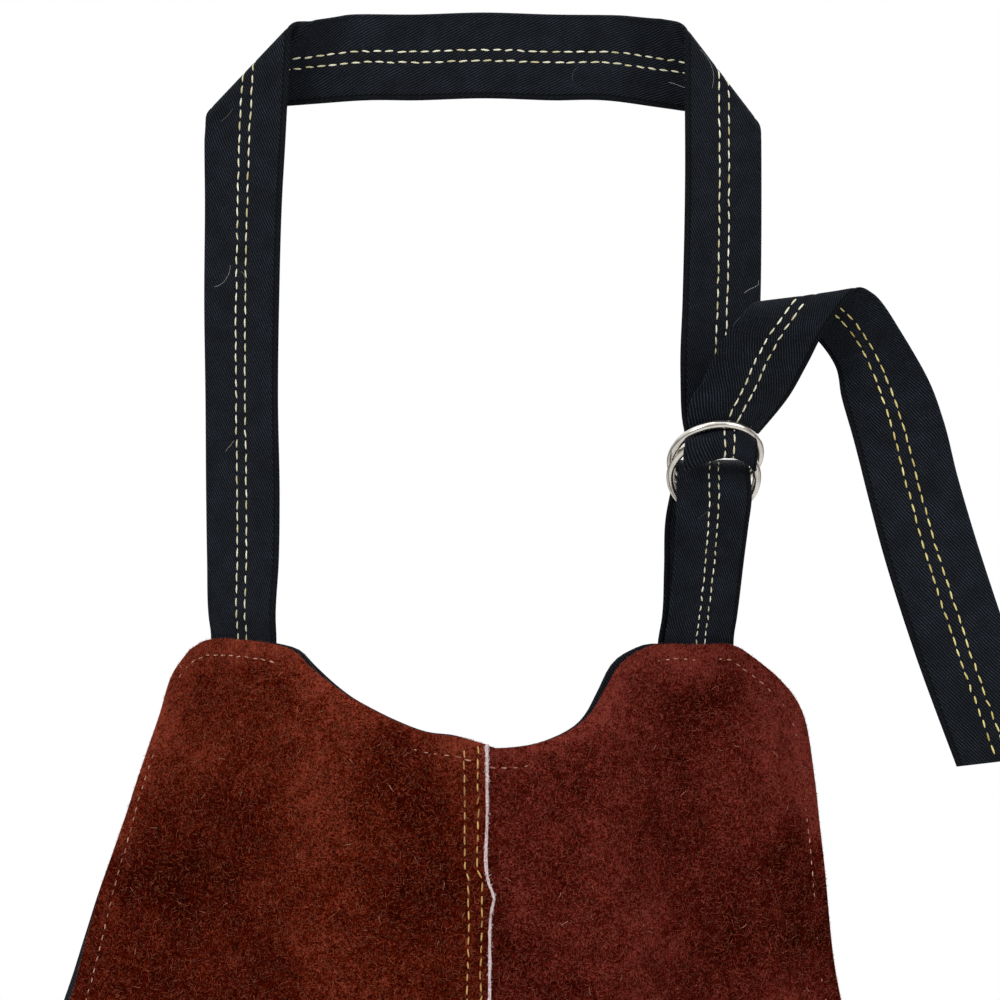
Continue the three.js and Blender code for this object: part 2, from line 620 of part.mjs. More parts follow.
// A round wire ring, leaned and rolled about its middle.
function ringGeometry(ring) {
  const geometry = new THREE.TorusGeometry(RING_RADIUS, WIRE_RADIUS, WIRE_SEGMENTS, RING_SEGMENTS);
  geometry.rotateX(Math.PI / 2 + radians(ring.lean));
  geometry.rotateY(-radians(ring.roll));
  geometry.rotateZ(radians(ring.turn));
  geometry.translate(ring.x, ring.y, ring.z);
  return geometry;
}

const apron = new THREE.Group();
apron.name = 'leather_grill_apron';

function addPiece(name, geometry, colour, roughness, metalness = 0) {
  const material = new THREE.MeshStandardMaterial({ color: colour, roughness, metalness });
  const mesh = new THREE.Mesh(geometry, material);
  mesh.name = name;
  apron.add(mesh);
}

const seamUnder = SEAM_EDGE.map((row) => ({ x: row.x - SEAM_LAP, z: row.z }));
seamUnder[0].z = RIGHT_TOP_EDGE[0].z;

const leftGrid = fillEdges(
  edgeCurve(LEFT_TOP_EDGE),
  edgeCurve(LEFT_HEM),
  edgeCurve(LEFT_SIDE_EDGE),
  edgeCurve(SEAM_EDGE),
  PANEL_COLUMNS,
  PANEL_ROWS,
);
const rightGrid = fillEdges(
  edgeCurve(RIGHT_TOP_EDGE),
  edgeCurve(RIGHT_HEM),
  edgeCurve(seamUnder),
  edgeCurve(RIGHT_SIDE_EDGE),
  PANEL_COLUMNS,
  PANEL_ROWS,
);
const liningGrid = liningPlaces(leftGrid, rightGrid);

const leftPanel = sheetGeometry(leftGrid, SUEDE_THICKNESS, leftPanelBehind, SKIVE);
const rightPanel = sheetGeometry(rightGrid, SUEDE_THICKNESS, () => 0);
const lining = sheetGeometry(liningGrid, LINING_THICKNESS, liningBehind);

addPiece('left_panel', leftPanel, SUEDE_LEFT_COLOUR, SUEDE_ROUGHNESS);
addPiece('right_panel', rightPanel, SUEDE_RIGHT_COLOUR, SUEDE_ROUGHNESS);
addPiece('lining', lining, LINING_COLOUR, LINING_ROUGHNESS);
addPiece('neck_strap', strapGeometry(neckStrapStations()), TWILL_COLOUR, TWILL_ROUGHNESS);
addPiece('ring_tab', strapGeometry(ringTabStations()), TWILL_COLOUR, TWILL_ROUGHNESS);
addPiece('front_ring', ringGeometry(FRONT_RING), NICKEL_COLOUR, NICKEL_ROUGHNESS, 1);
addPiece('rear_ring', ringGeometry(REAR_RING), NICKEL_COLOUR, NICKEL_ROUGHNESS, 1);
addPiece('waist_tie_left', strapGeometry(waistTieStations(-1)), TWILL_COLOUR, TWILL_ROUGHNESS);
addPiece('waist_tie_right', strapGeometry(waistTieStations(1)), TWILL_COLOUR, TWILL_ROUGHNESS);

export default apron;
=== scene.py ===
"""A suede bib apron with a twill neck strap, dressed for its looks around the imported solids."""

import math

import bpy
import numpy as np
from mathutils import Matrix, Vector


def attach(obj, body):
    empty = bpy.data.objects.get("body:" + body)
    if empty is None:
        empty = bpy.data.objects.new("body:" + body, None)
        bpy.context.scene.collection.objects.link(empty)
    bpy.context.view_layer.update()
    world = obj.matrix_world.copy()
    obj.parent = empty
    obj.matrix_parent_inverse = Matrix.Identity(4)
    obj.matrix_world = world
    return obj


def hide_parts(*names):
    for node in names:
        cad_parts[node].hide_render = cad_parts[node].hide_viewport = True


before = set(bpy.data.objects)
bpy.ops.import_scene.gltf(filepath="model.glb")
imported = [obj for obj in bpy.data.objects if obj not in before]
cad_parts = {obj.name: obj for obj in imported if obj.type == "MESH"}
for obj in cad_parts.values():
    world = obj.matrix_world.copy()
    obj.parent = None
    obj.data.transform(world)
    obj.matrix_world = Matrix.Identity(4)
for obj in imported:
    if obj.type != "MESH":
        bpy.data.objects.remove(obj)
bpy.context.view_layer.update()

MM = 0.001
SEED = 41


def table(columns, rows):
    """Rows of numbers as one array for each named column."""
    return dict(zip(columns.split(), np.array(rows, float).T))


# Main sizes, in millimetres. +X is the viewer's right, +Y away, +Z up, and the strap hangs from the origin.
STRAP_HALF = 22.0
STRAP_THICKNESS = 2.0
SUEDE_THICKNESS = 1.8
LINING_THICKNESS = 1.0
LAYER_GAP = 0.4
LAP_GAP = 0.9
LINING_GAP = 1.3
WIRE_RADIUS = 2.1
SEAM_LAP = 16.0
SEAM_RAMP = 14.0
SKIVE = 2.0
SEWN_DEPTH = 24.0
LEFT_CORNER_TOP = -295.6
RIGHT_CORNER_TOP = -299.4
NECK_FOLD_RADIUS = 3.2
TIE_FOLD_RADIUS = 6.0
FOLD_STEPS = 6
LEAD_STATIONS = 3
TIE_HEIGHT = -640.0
TIE_REACH = 32.0
TIE_END = -1190.0
TIE_SEWN_DEPTH = 18.0
EDGE_FOLD = 19.4
NO_FOLD = 1000.0
UP = np.array([0.0, 0.0, 1.0])

# How far the sheet falls back to each side of the centre seam, level by level.
DRAPE = table("z middle left_reach left_fall right_reach right_fall", [
    (-296, -62, 122, 35, 105, 48),
    (-380, -65, 176, 46, 166, 66),
    (-475, -67, 211, 52, 179, 73),
    (-640, -66, 276, 60, 243, 80),
    (-900, -62, 292, 58, 274, 74),
    (-1147, -60, 294, 55, 278, 68),
])
LEFT_CURVE = 2.6
RIGHT_CURVE = 1.3
SEAM_SOFTNESS = 9.0
SLOPE_REACH = 0.5
CURVE_PIECES = 24

# Soft folds that run down the sheet: a rise comes towards the viewer, a fall goes back.
FOLD_TOP = -300.0
FOLD_BOTTOM = -1147.0
FOLD_FADE = 45.0
FOLD_SPREAD = 1.4
FOLDS = table("top_x bottom_x width rise growth", [
    (-86, -38, 22, 4.5, 1.6),
    (-44, 10, 24, -4.5, 1.8),
    (58, 96, 20, 3.5, 2.4),
    (92, 140, 22, -3.5, 2.6),
    (134, 196, 24, 3, 2.8),
    (-150, -120, 30, -3, 3.2),
    (-200, -205, 32, 3, 3),
])
# Low undulations of the hide itself.
DENTS = table("wave_x wave_z height phase", [
    (61, 97, 0.30, 0.4),
    (-43, 71, 0.22, 1.9),
    (29, -53, 0.14, 3.1),
    (23, 31, 0.09, 5.0),
    (-17, 41, 0.07, 2.2),
])

# The cut edges of the suede. Margin is how far the lining stands out beyond the edge.
LEFT_TOP_EDGE = table("x z margin", [
    (-149.6, -303.8, 0.3), (-139.6, -298.2, 0.3), (-120, -297.2, 0.3), (-102, -299, 0.4),
    (-93, -301.9, 0.9), (-85.5, -308.6, 1.6), (-77, -315, 1.4), (-66, -322.5, 0.9), (-56, -328.2, 0.4),
    (-42.8, -334.9, 0.3), (-28.2, -340, 0.3), (-13.6, -341.5, 0.2), (1.9, -345.4, 0.2),
])
RIGHT_TOP_EDGE = table("x z margin", [
    (-14.1, -347, 0.2), (1.9, -347.2, 0.2), (15.5, -347.2, 0.3), (30.1, -344.6, 0.4), (45, -338, 0.9),
    (52.5, -331.6, 1.4), (60, -320.6, 1.8), (67.6, -309, 1.7), (75.3, -303.4, 1.1), (85, -299.8, 0.4),
    (107, -300.5, 0.3), (127.3, -301.7, 0.3), (139, -309, 0.5),
])
LEFT_SIDE_EDGE = table("x z margin", [
    (-149.6, -303.8, 0.3), (-159, -317, 0.4), (-164.5, -337.7, 0.5), (-177.1, -378, 1.4),
    (-190.9, -418.6, 2.4), (-200.4, -455, 4.2), (-205.6, -474, 5.2), (-233, -540, 4.4), (-266, -615, 3),
    (-286, -700, 1), (-291, -900, 1), (-293, -1118, 1), (-287, -1139, 0.5),
])
RIGHT_SIDE_EDGE = table("x z margin", [
    (139, -309, 0.5), (150.9, -319, 0.4), (159.6, -329.3, 0.4), (164.3, -339.5, 0.4), (168.6, -370, 0.4),
    (173.5, -411.6, 0.4), (180.7, -474, 0.4), (200, -540, 0.4), (236, -615, 0.4), (262, -700, 0.4),
    (273, -900, 0.4), (277, -1118, 0.4), (271, -1139, 0.5),
])
SEAM_EDGE = table("x z margin", [
    (1.9, -345.4, 0), (2.0, -380, 0), (1.9, -404, 0), (3.0, -412, 0), (5.3, -419, 0), (4.2, -424, 0),
    (3.5, -436, 0), (3.3, -470, 0), (3.3, -800, 0), (3.3, -1147, 0),
])
LEFT_HEM = table("x z margin", [(-287, -1139, 0.5), (-268, -1147, -1), (-130, -1148, -1), (3.3, -1147, -1)])
RIGHT_HEM = table("x z margin", [(-12.7, -1147, -1), (130, -1148, -1), (252, -1147, -1), (271, -1139, 0.5)])

# The neck strap, station by station. Turn is how far the edge away from the neck lies back, in degrees.
LEFT_SEWN_X = -121.8
LEFT_STRAND = table("x y z turn", [
    (-120.7, -27, -286, 35), (-120.3, -27, -257, 30), (-120.3, -27, -227, 28), (-121, -26, -177, 29),
    (-121, -26, -127, 26), (-120.2, -25, -77, 23), (-119.4, -25, -46, 17),
])
NECK_FOLD_LEFT = {"place": (-116.6, -25, -10.5), "crease_x": 22.0, "crease_z": 21.5, "turn": 14.0}
NECK_BACK = table("x y z lean", [
    (-68, -7, -2.8, 92.5), (-34, 0, -1.2, 91.5), (0, 1, 0, 90), (34, 0, -1.2, 88.5), (70, -7, -3.2, 87.5),
])
NECK_FOLD_RIGHT = {"place": (118.5, -25, -13.3), "crease_x": 20.0, "crease_z": 23.4, "turn": 24.0}
RIGHT_STRAND = table("x y z turn", [(119.9, -25, -46, 25), (119.9, -25, -77, 24.5), (118.9, -27, -127, 23)])

# Through the rings and out as the tail: edge is the way to the strap's left edge, bow bends both edges away.
PASSAGE_COLUMNS = "x y z edge_x edge_y edge_z bow_x bow_y bow_z"
RING_PASSAGE = table(PASSAGE_COLUMNS, [
    (117, -33.5, -165, -20, -9, 0, 0, 0, 0),
    (116.8, -36, -184, -18.8, -5.5, 0, 0, 2.6, -3),
    (117.4, -37.7, -194, -16.6, -3.4, 0, -1, 2.5, -5),
])
WRAP = {"place": (120.8, -42.2, -198.2), "radius": 4.1, "drop": 7.6, "edge": (-18.1, -3.4, 0),
        "bow": (-4.0, 2.1, -5.0), "dip": 2.3}
WRAP_TURNS = (0, 45, 90, 135, 180, 212)
TAIL = table(PASSAGE_COLUMNS, [
    (121.8, -40.7, -190.9, -17.6, -2.6, 0.4, -4.6, 7.8, -5),
    (123.2, -41.6, -187, -18.6, -5, 4.2, -4, 4.4, -1.5),
    (129.4, -47, -174, -21, -6, 4.6, -1.4, 2, 0),
    (136.6, -59, -156, -21.4, -5, 5, 0, 0, 0),
    (144.4, -68, -142, -21.6, -5, 2.2, 0, 0, 0),
    (156.4, -65, -129.4, -23.4, 0, -2.9, 0, 0, 0),
    (171, -55, -133.6, -17.4, 9, -6, 0, 0, 0),
    (188.6, -47.5, -153.4, -14.8, 11.6, -6.6, 0, 0, 0),
    (197, -47, -173, -20.4, 6, -4, 0, 0, 0),
    (203.1, -49, -192.6, -21.6, 3, -4.4, 0, 0, 0),
    (209.4, -54, -220.8, -21.7, 0, -5.6, 0, 0, 0),
    (215, -58, -243.8, -21.8, 0, -6, 0, 0, 0),
    (229.6, -65, -293.5, -21.8, 0, -6.2, 0, 0, 0),
    (250, -69, -352.9, -22.3, 0, -2.6, 0, 0, 0),
])
TAIL_BEND = np.array([156.4, -65, -129.4])

# The ring tab, up its front layer, over the crest and down its back layer.
TAB_SEWN_X = 109.4
TAB_FRONT_SHIFT = 1.0
TAB_FRONT_HALF = 18.6
TAB = table("x y z turn half", [
    (110.4, -16.5, -286, 28, 20.6), (112.8, -25.5, -257, 20, 19.2), (113.6, -33.5, -239, 9, 18.6),
    (114.2, -36, -227, 3, 18.8), (114.3, -33, -216, 3, 18.5), (115, -27.5, -210, 5, 17.6),
    (115, -20.5, -208, 6, 17.4), (114.6, -13, -210.5, 8, 17.6), (113.8, -7.5, -218, 10, 18.4),
    (111.4, -5.5, -236, 16, 20.2), (110.6, -6.5, -262, 24, 21.6), (108.8, -9.6, -286, 29, 22),
])

# The rings: lean tips the top towards the viewer, roll lifts the right side, turn sets the right side back.
FRONT_RING = {"radius": 21.4, "place": (114.6, -29.5, -215.9), "lean": 32, "roll": -7, "turn": -1}
REAR_RING = {"radius": 22.3, "place": (115.4, -30, -206.2), "lean": 45, "roll": 12, "turn": -4}

STRAP_LAYER = SUEDE_THICKNESS / 2 + LAYER_GAP + STRAP_THICKNESS / 2
STRAP_STEP = STRAP_THICKNESS + LAYER_GAP
LINING_LAYER = SUEDE_THICKNESS / 2 + LINING_GAP + LINING_THICKNESS / 2
BUMP_RAMP = 40.0

# The camera, level, at the photograph's distance and field of view.
CAMERA_PLACE = (8.17, -1175.0, -227.3)
CAMERA_LENS = 82.8
SENSOR_WIDTH = 36.0


def make_camera():
    data = bpy.data.cameras.new("camera")
    data.lens = CAMERA_LENS
    data.sensor_width = SENSOR_WIDTH
    camera = bpy.data.objects.new("camera", data)
    camera.location = Vector(CAMERA_PLACE) * MM
    camera.rotation_euler = (math.pi / 2, 0, 0)
    bpy.context.scene.collection.objects.link(camera)
    bpy.context.scene.camera = camera


def smooth(share):
    share = np.clip(share, 0, 1)
    return share * share * (3 - 2 * share)


def unit(vectors):
    return vectors / np.maximum(np.linalg.norm(vectors, axis=-1, keepdims=True), 1e-9)


# The hanging sheet.

def fold_rise(x, z):
    """How far the soft folds bring the sheet towards the viewer."""
    down = np.clip((FOLD_TOP - z) / (FOLD_TOP - FOLD_BOTTOM), 0, 1)
    folds = 0
    for top_x, bottom_x, width, rise, growth in zip(*FOLDS.values()):
        centre = top_x + (bottom_x - top_x) * down
        height = rise * (1 + (growth - 1) * down)
        spread = width * (1 + (FOLD_SPREAD - 1) * down)
        folds = folds + height * np.exp(-(((x - centre) / spread) ** 2))
    return folds * smooth((FOLD_TOP - z) / FOLD_FADE)


def drape_depth(x, z):
    """How far away the middle of the suede lies at each place."""
    heights = DRAPE["z"]
    row = np.clip(np.searchsorted(-heights, -z, side="left") - 1, 0, len(heights) - 2)
    share = smooth((heights[row] - z) / (heights[row] - heights[row + 1]))
    level = {name: column[row] + (column[row + 1] - column[row]) * share for name, column in DRAPE.items()}
    offset = x - SEAM_EDGE["x"][0]
    left = level["left_fall"] * (np.maximum(-offset, 0) / level["left_reach"]) ** LEFT_CURVE
    beyond = np.hypot(np.maximum(offset, 0), SEAM_SOFTNESS) - SEAM_SOFTNESS
    right = level["right_fall"] * (beyond / (level["right_reach"] - SEAM_SOFTNESS)) ** RIGHT_CURVE
    folds = fold_rise(x, z)
    for wave_x, wave_z, height, phase in zip(*DENTS.values()):
        folds = folds + height * np.sin(2 * math.pi * (x / wave_x + z / wave_z) + phase)
    return level["middle"] + left + right - folds


def on_drape(x, z, behind):
    """Places on the sheet, moved square to it; behind is positive away from the viewer."""
    x, z = np.asarray(x, float), np.asarray(z, float)
    reach = SLOPE_REACH
    slope_x = (drape_depth(x + reach, z) - drape_depth(x - reach, z)) / (2 * reach)
    slope_z = (drape_depth(x, z + reach) - drape_depth(x, z - reach)) / (2 * reach)
    away = unit(np.stack([-slope_x, np.ones_like(x), -slope_z], -1))
    return np.stack([x, drape_depth(x, z), z], -1) + away * np.asarray(behind)[..., None]


def edge_curve(rows):
    """A smooth curve through an edge's rows, as closely spaced places and their distance along it."""
    points = np.stack([rows["x"], rows["z"], rows["margin"]], -1)
    padded = np.vstack([2 * points[0] - points[1], points, 2 * points[-1] - points[-2]])
    places = []
    for before, start, end, after in zip(padded, padded[1:], padded[2:], padded[3:]):
        spans = ((before, start), (start, end), (end, after))
        first, middle, last = (max(np.linalg.norm(b - a), 1e-6) ** 0.5 for a, b in spans)
        leave = (start - before) / first - (end - before) / (first + middle) + (end - start) / middle
        arrive = (end - start) / middle - (after - start) / (middle + last) + (after - end) / last
        t = np.linspace(0, 1, CURVE_PIECES, endpoint=False)[:, None]
        places.append((2 * t**3 - 3 * t**2 + 1) * start + (t**3 - 2 * t**2 + t) * middle * leave
                      + (3 * t**2 - 2 * t**3) * end + (t**3 - t**2) * middle * arrive)
    places = np.vstack(places + [points[-1:]])
    along = np.concatenate([[0], np.cumsum(np.linalg.norm(np.diff(places, axis=0), axis=1))])
    return places, along


def at_share(curve, share):
    places, along = curve
    return np.stack([np.interp(share * along[-1], along, column) for column in places.T], -1)


def fill_edges(top, bottom, left, right, u, v):
    """Places between four edges, at shares u across and v down."""
    a, b = u[..., None], v[..., None]
    corners = [at_share(edge, np.array(end)) for edge in (top, bottom) for end in (0.0, 1.0)]
    straight = ((1 - a) * (1 - b) * corners[0] + a * (1 - b) * corners[1]
                + (1 - a) * b * corners[2] + a * b * corners[3])
    return ((1 - b) * at_share(top, u) + b * at_share(bottom, u)
            + (1 - a) * at_share(left, v) + a * at_share(right, v) - straight)


def side_edge_x(side, height):
    rows = LEFT_SIDE_EDGE if side < 0 else RIGHT_SIDE_EDGE
    return float(np.interp(-height, -rows["z"], rows["x"]))


SEWN_BUMPS = table("x z half_x half_z height", [
    (LEFT_SEWN_X, LEFT_CORNER_TOP - SEWN_DEPTH / 2, 24, 20, STRAP_STEP),
    (TAB_SEWN_X, RIGHT_CORNER_TOP - SEWN_DEPTH / 2, 26, 20, 2 * STRAP_STEP),
    (side_edge_x(-1, TIE_HEIGHT), TIE_HEIGHT, 34, 44, STRAP_STEP),
    (side_edge_x(1, TIE_HEIGHT), TIE_HEIGHT, 34, 44, STRAP_STEP),
])


def lining_behind(x, z):
    """How far behind the suede the lining lies; a strap's sewn end holds it off."""
    bump = np.zeros_like(x)
    for place_x, place_z, half_x, half_z, height in zip(*SEWN_BUMPS.values()):
        beyond = np.hypot(np.maximum(abs(x - place_x) - half_x, 0), np.maximum(abs(z - place_z) - half_z, 0))
        bump = np.maximum(bump, height * (1 - smooth(beyond / BUMP_RAMP)))
    return LINING_LAYER + bump


def left_panel_behind(x):
    start = SEAM_EDGE["x"][0] - SEAM_LAP - SEAM_RAMP
    return -(SUEDE_THICKNESS + LAP_GAP) * smooth((x - start) / SEAM_RAMP)


# Meshes. Edges sharper than these angles, in degrees, stay sharp.

SHEET_SMOOTH = 50
STRAP_SMOOTH = 60
STITCH_SMOOTH = 80


def make_piece(name, points, faces, materials, face_uv=None, face_material=None, **shares):
    """A piece from places in millimetres and faces by index, with its finish."""
    mesh = bpy.data.meshes.new(name)
    mesh.from_pydata((np.asarray(points) * MM).tolist(), [], [list(map(int, face)) for face in faces])
    for material in materials:
        mesh.materials.append(material)
    if face_uv is not None:
        layer = mesh.uv_layers.new(name="weave")
        layer.data.foreach_set("uv", np.concatenate([np.asarray(uv, float).ravel() for uv in face_uv]))
    if face_material is not None:
        mesh.polygons.foreach_set("material_index", np.asarray(face_material, dtype=np.int32))
    for share, values in shares.items():
        mesh.attributes.new(share, "FLOAT", "POINT").data.foreach_set("value", np.asarray(values, float))
    mesh.validate()
    mesh.update()
    piece = bpy.data.objects.new(name, mesh)
    bpy.context.scene.collection.objects.link(piece)
    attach(piece, "root")
    return piece


def shade(piece, angle):
    bpy.ops.object.select_all(action="DESELECT")
    piece.select_set(True)
    bpy.context.view_layer.objects.active = piece
    bpy.ops.object.shade_smooth_by_angle(angle=math.radians(angle))
    piece.select_set(False)


def grid_faces(rows, columns, start=0, flip=False):
    index = start + np.arange(rows * columns).reshape(rows, columns)
    quads = np.stack([index[:-1, :-1], index[1:, :-1], index[1:, 1:], index[:-1, 1:]], -1).reshape(-1, 4)
    return quads[:, ::-1] if flip else quads


def rim_of(rows, columns):
    index = np.arange(rows * columns).reshape(rows, columns)
    return np.concatenate([index[0], index[1:, -1], index[-1, -2::-1], index[-2:0:-1, 0]])


def wall(front, back):
    """Points and faces of a closed wall between two grids; the front's faces come first."""
    rows, columns = front.shape[:2]
    points = np.concatenate([front.reshape(-1, 3), back.reshape(-1, 3)])
    count = rows * columns
    rim = rim_of(rows, columns)
    ahead = np.roll(rim, -1)
    sides = np.stack([rim, ahead, ahead + count, rim + count], -1)
    faces = np.concatenate([grid_faces(rows, columns), grid_faces(rows, columns, count, True), sides])
    first = points[faces[:, 0]]
    volume = 0.0
    for a, b in ((1, 2), (2, 3)):
        volume += np.einsum("ij,ij->", first, np.cross(points[faces[:, a]], points[faces[:, b]]))
    return points, faces if volume > 0 else faces[:, ::-1]


# Materials. Each effect that several finishes share is one node group.

def add(tree, kind, settings=None, **inputs):
    made = tree.nodes.new(kind)
    for name, value in (settings or {}).items():
        setattr(made, name, value)
    for name, value in inputs.items():
        plug(tree, made.inputs[name.replace("_", " ")], value)
    return made


def plug(tree, socket, value):
    if isinstance(value, bpy.types.NodeSocket):
        tree.links.new(value, socket)
    else:
        socket.default_value = value


def calc(tree, operation, first, second=0.0, third=0.0):
    made = tree.nodes.new("ShaderNodeMath")
    made.operation = operation
    for socket, value in zip(made.inputs, (first, second, third)):
        plug(tree, socket, value)
    return made.outputs[0]


def blend_colours(tree, share, first, second):
    made = tree.nodes.new("ShaderNodeMix")
    made.data_type = "RGBA"
    plug(tree, made.inputs["Factor"], share)
    plug(tree, made.inputs["A"], first)
    plug(tree, made.inputs["B"], second)
    return made.outputs["Result"]


def remap(tree, value, low, high, to_low=0.0, to_high=1.0):
    made = add(tree, "ShaderNodeMapRange", None, Value=value)
    for name, number in (("From Min", low), ("From Max", high), ("To Min", to_low), ("To Max", to_high)):
        plug(tree, made.inputs[name], number)
    return made.outputs["Result"]


def noise(tree, place, scale, detail=2.0, roughness=0.5, distortion=0.0):
    made = add(tree, "ShaderNodeTexNoise", None, Vector=place, Scale=scale, Detail=detail,
               Roughness=roughness, Distortion=distortion)
    return made.outputs["Fac"]


def swing(tree, value, mean, contrast, base):
    """A base, raised or lowered by how far a value lies from its mean."""
    return calc(tree, "MULTIPLY_ADD", calc(tree, "SUBTRACT", value, mean), contrast, base)


def drawn_out(tree, place, angle, length):
    """Coordinates that draw a texture out along a line, tilted in the picture plane by an angle."""
    made = add(tree, "ShaderNodeMapping", {"vector_type": "TEXTURE"}, Vector=place,
               Rotation=(0, math.radians(angle), 0), Scale=(1, 1, length))
    return made.outputs["Vector"]


def colour(red, green, blue):
    """A colour given as seen on screen, for a shader."""
    linear = [(c / 255 / 12.92) if c / 255 <= 0.04045 else ((c / 255 + 0.055) / 1.055) ** 2.4
              for c in (red, green, blue)]
    return (*linear, 1.0)


def start_group(name, inputs, outputs):
    group = bpy.data.node_groups.new(name, "ShaderNodeTree")
    for socket, kind in inputs:
        group.interface.new_socket(socket, in_out="INPUT", socket_type=kind)
    for socket, kind in outputs:
        group.interface.new_socket(socket, in_out="OUTPUT", socket_type=kind)
    return group, group.nodes.new("NodeGroupInput").outputs, group.nodes.new("NodeGroupOutput").inputs


COLOUR_SOCKET = "NodeSocketColor"
VALUE_SOCKET = "NodeSocketFloat"


# The nap's fibres lie in several directions: tilt in degrees and fineness per metre.
FIBRE_LAYERS = ((8, 1900.0), (55, 2100.0), (98, 2000.0), (142, 1850.0))
FIBRE_DRAW = 4.0
FIBRE_MEAN = 0.62
FIBRE_CONTRAST = 2.6
GRAIN_CONTRAST = 1.1
# Curls, brushed patches and clouds of tone: fineness, detail, roughness and distortion, then the contrast.
TONE_LAYERS = (
    ((420.0, 1.0, 0.5, 1.5), 0.9),
    ((85.0, 3.0, 0.6, 1.0), 0.7),
    ((15.0, 3.0, 0.55, 0.5), 1.1),
)
# How strongly edge wear and painted light on the folds shift the nap's tone.
WEAR_AND_SHADE_CONTRAST = 0.42


def make_nap_group():
    """Suede nap: brushed patches, fine fibres that lie this way and that, and slow changes of tone."""
    group, given, result = start_group(
        "suede_nap",
        [("Deep", COLOUR_SOCKET), ("Middle", COLOUR_SOCKET), ("Raised", COLOUR_SOCKET)],
        [("Color", COLOUR_SOCKET), ("Height", VALUE_SOCKET)],
    )
    place = group.nodes.new("ShaderNodeTexCoord").outputs["Object"]
    fibres = None
    for angle, scale in FIBRE_LAYERS:
        strand = noise(group, drawn_out(group, place, angle, FIBRE_DRAW), scale, 1.0, 0.5, 0.7)
        fibres = strand if fibres is None else calc(group, "MAXIMUM", fibres, strand)
    grain = noise(group, place, 1700.0, 2.0, 0.6)
    fine = swing(group, fibres, FIBRE_MEAN, FIBRE_CONTRAST, 0.5)
    fine = swing(group, grain, 0.5, GRAIN_CONTRAST, fine)
    tone = fine
    for layer, contrast in TONE_LAYERS:
        tone = swing(group, noise(group, place, *layer), 0.5, contrast, tone)
    # This attribute holds rubbed wear along the edges together with painted highlight on the folds, painted shade
    # between them and spots of painted light and shadow.
    worn = add(group, "ShaderNodeAttribute", {"attribute_name": "worn"}).outputs["Fac"]
    tone = calc(group, "MULTIPLY_ADD", worn, WEAR_AND_SHADE_CONTRAST, tone)
    lower = blend_colours(group, remap(group, tone, 0.0, 0.55), given["Deep"], given["Middle"])
    upper = blend_colours(group, remap(group, tone, 0.55, 1.15), lower, given["Raised"])
    group.links.new(upper, result["Color"])
    group.links.new(fine, result["Height"])
    return group


def make_twill_group():
    """Twill: slanted ribs that run along the weave map, broken into floats, with uneven yarn; painted shade past
    the fold.
    """
    group, given, result = start_group(
        "twill_weave",
        [("Ground", COLOUR_SOCKET), ("Rib", COLOUR_SOCKET), ("Pitch", VALUE_SOCKET), ("Slant", VALUE_SOCKET),
         ("Fold", VALUE_SOCKET)],
        [("Color", COLOUR_SOCKET), ("Height", VALUE_SOCKET)],
    )
    weave = add(group, "ShaderNodeUVMap", {"uv_map": "weave"}).outputs["UV"]
    parts = add(group, "ShaderNodeSeparateXYZ", None, Vector=weave).outputs
    place = group.nodes.new("ShaderNodeTexCoord").outputs["Object"]
    sway = calc(group, "MULTIPLY", calc(group, "SUBTRACT", noise(group, weave, 0.12, 2.0), 0.5), 1.1)
    across = calc(group, "MULTIPLY", parts["X"], calc(group, "COSINE", given["Slant"]))
    along = calc(group, "MULTIPLY", parts["Y"], calc(group, "SINE", given["Slant"]))
    turns = calc(group, "DIVIDE", calc(group, "ADD", calc(group, "ADD", across, along), sway), given["Pitch"])
    wave = calc(group, "SINE", calc(group, "MULTIPLY", turns, 2 * math.pi))
    rib = calc(group, "MULTIPLY_ADD", wave, 0.5, 0.5)
    yarn = noise(group, weave, 1.1, 2.0, 0.6)
    slub = noise(group, place, 95.0, 3.0, 0.6)
    height = calc(group, "MULTIPLY", rib, remap(group, yarn, 0.3, 0.7, 0.55, 1.0))
    share = calc(group, "MULTIPLY", calc(group, "POWER", height, 2.2), remap(group, slub, 0.3, 0.7, 0.5, 1.2))
    # Painted shade: past the fold line the turned-under edge is darker, and darkest in a thin crease along the
    # line itself.
    beyond = calc(group, "SUBTRACT", parts["X"], given["Fold"])
    share = calc(group, "MULTIPLY", share, remap(group, beyond, -0.4, 0.2, 1.0, 0.45))
    share = calc(group, "MULTIPLY", share, remap(group, calc(group, "ABSOLUTE", beyond), 0.2, 0.6, 0.0, 1.0))
    group.links.new(blend_colours(group, share, given["Ground"], given["Rib"]), result["Color"])
    group.links.new(height, result["Height"])
    return group


def make_strand_group():
    """Thread and loose fibre: each strand has its own tone, and its plies show as fine ridges."""
    group, given, result = start_group(
        "strand_tone",
        [("Dark", COLOUR_SOCKET), ("Light", COLOUR_SOCKET), ("Unevenness", VALUE_SOCKET)],
        [("Color", COLOUR_SOCKET), ("Height", VALUE_SOCKET)],
    )
    tone = add(group, "ShaderNodeAttribute", {"attribute_name": "tone"}).outputs["Fac"]
    place = group.nodes.new("ShaderNodeTexCoord").outputs["Object"]
    plies = noise(group, place, 2600.0, 2.0)
    share = swing(group, plies, 0.5, given["Unevenness"], tone)
    group.links.new(blend_colours(group, share, given["Dark"], given["Light"]), result["Color"])
    group.links.new(plies, result["Height"])
    return group


def start_material(name):
    material = bpy.data.materials.new(name)
    material.use_nodes = True
    tree = material.node_tree
    return material, tree, tree.nodes["Principled BSDF"]


def use_group(tree, group, **values):
    made = tree.nodes.new("ShaderNodeGroup")
    made.node_tree = group
    for name, value in values.items():
        plug(tree, made.inputs[name], value)
    return made.outputs


def roughen(tree, shader, height, strength, distance):
    bump = add(tree, "ShaderNodeBump", None, Height=height, Strength=strength, Distance=distance)
    tree.links.new(bump.outputs["Normal"], shader.inputs["Normal"])


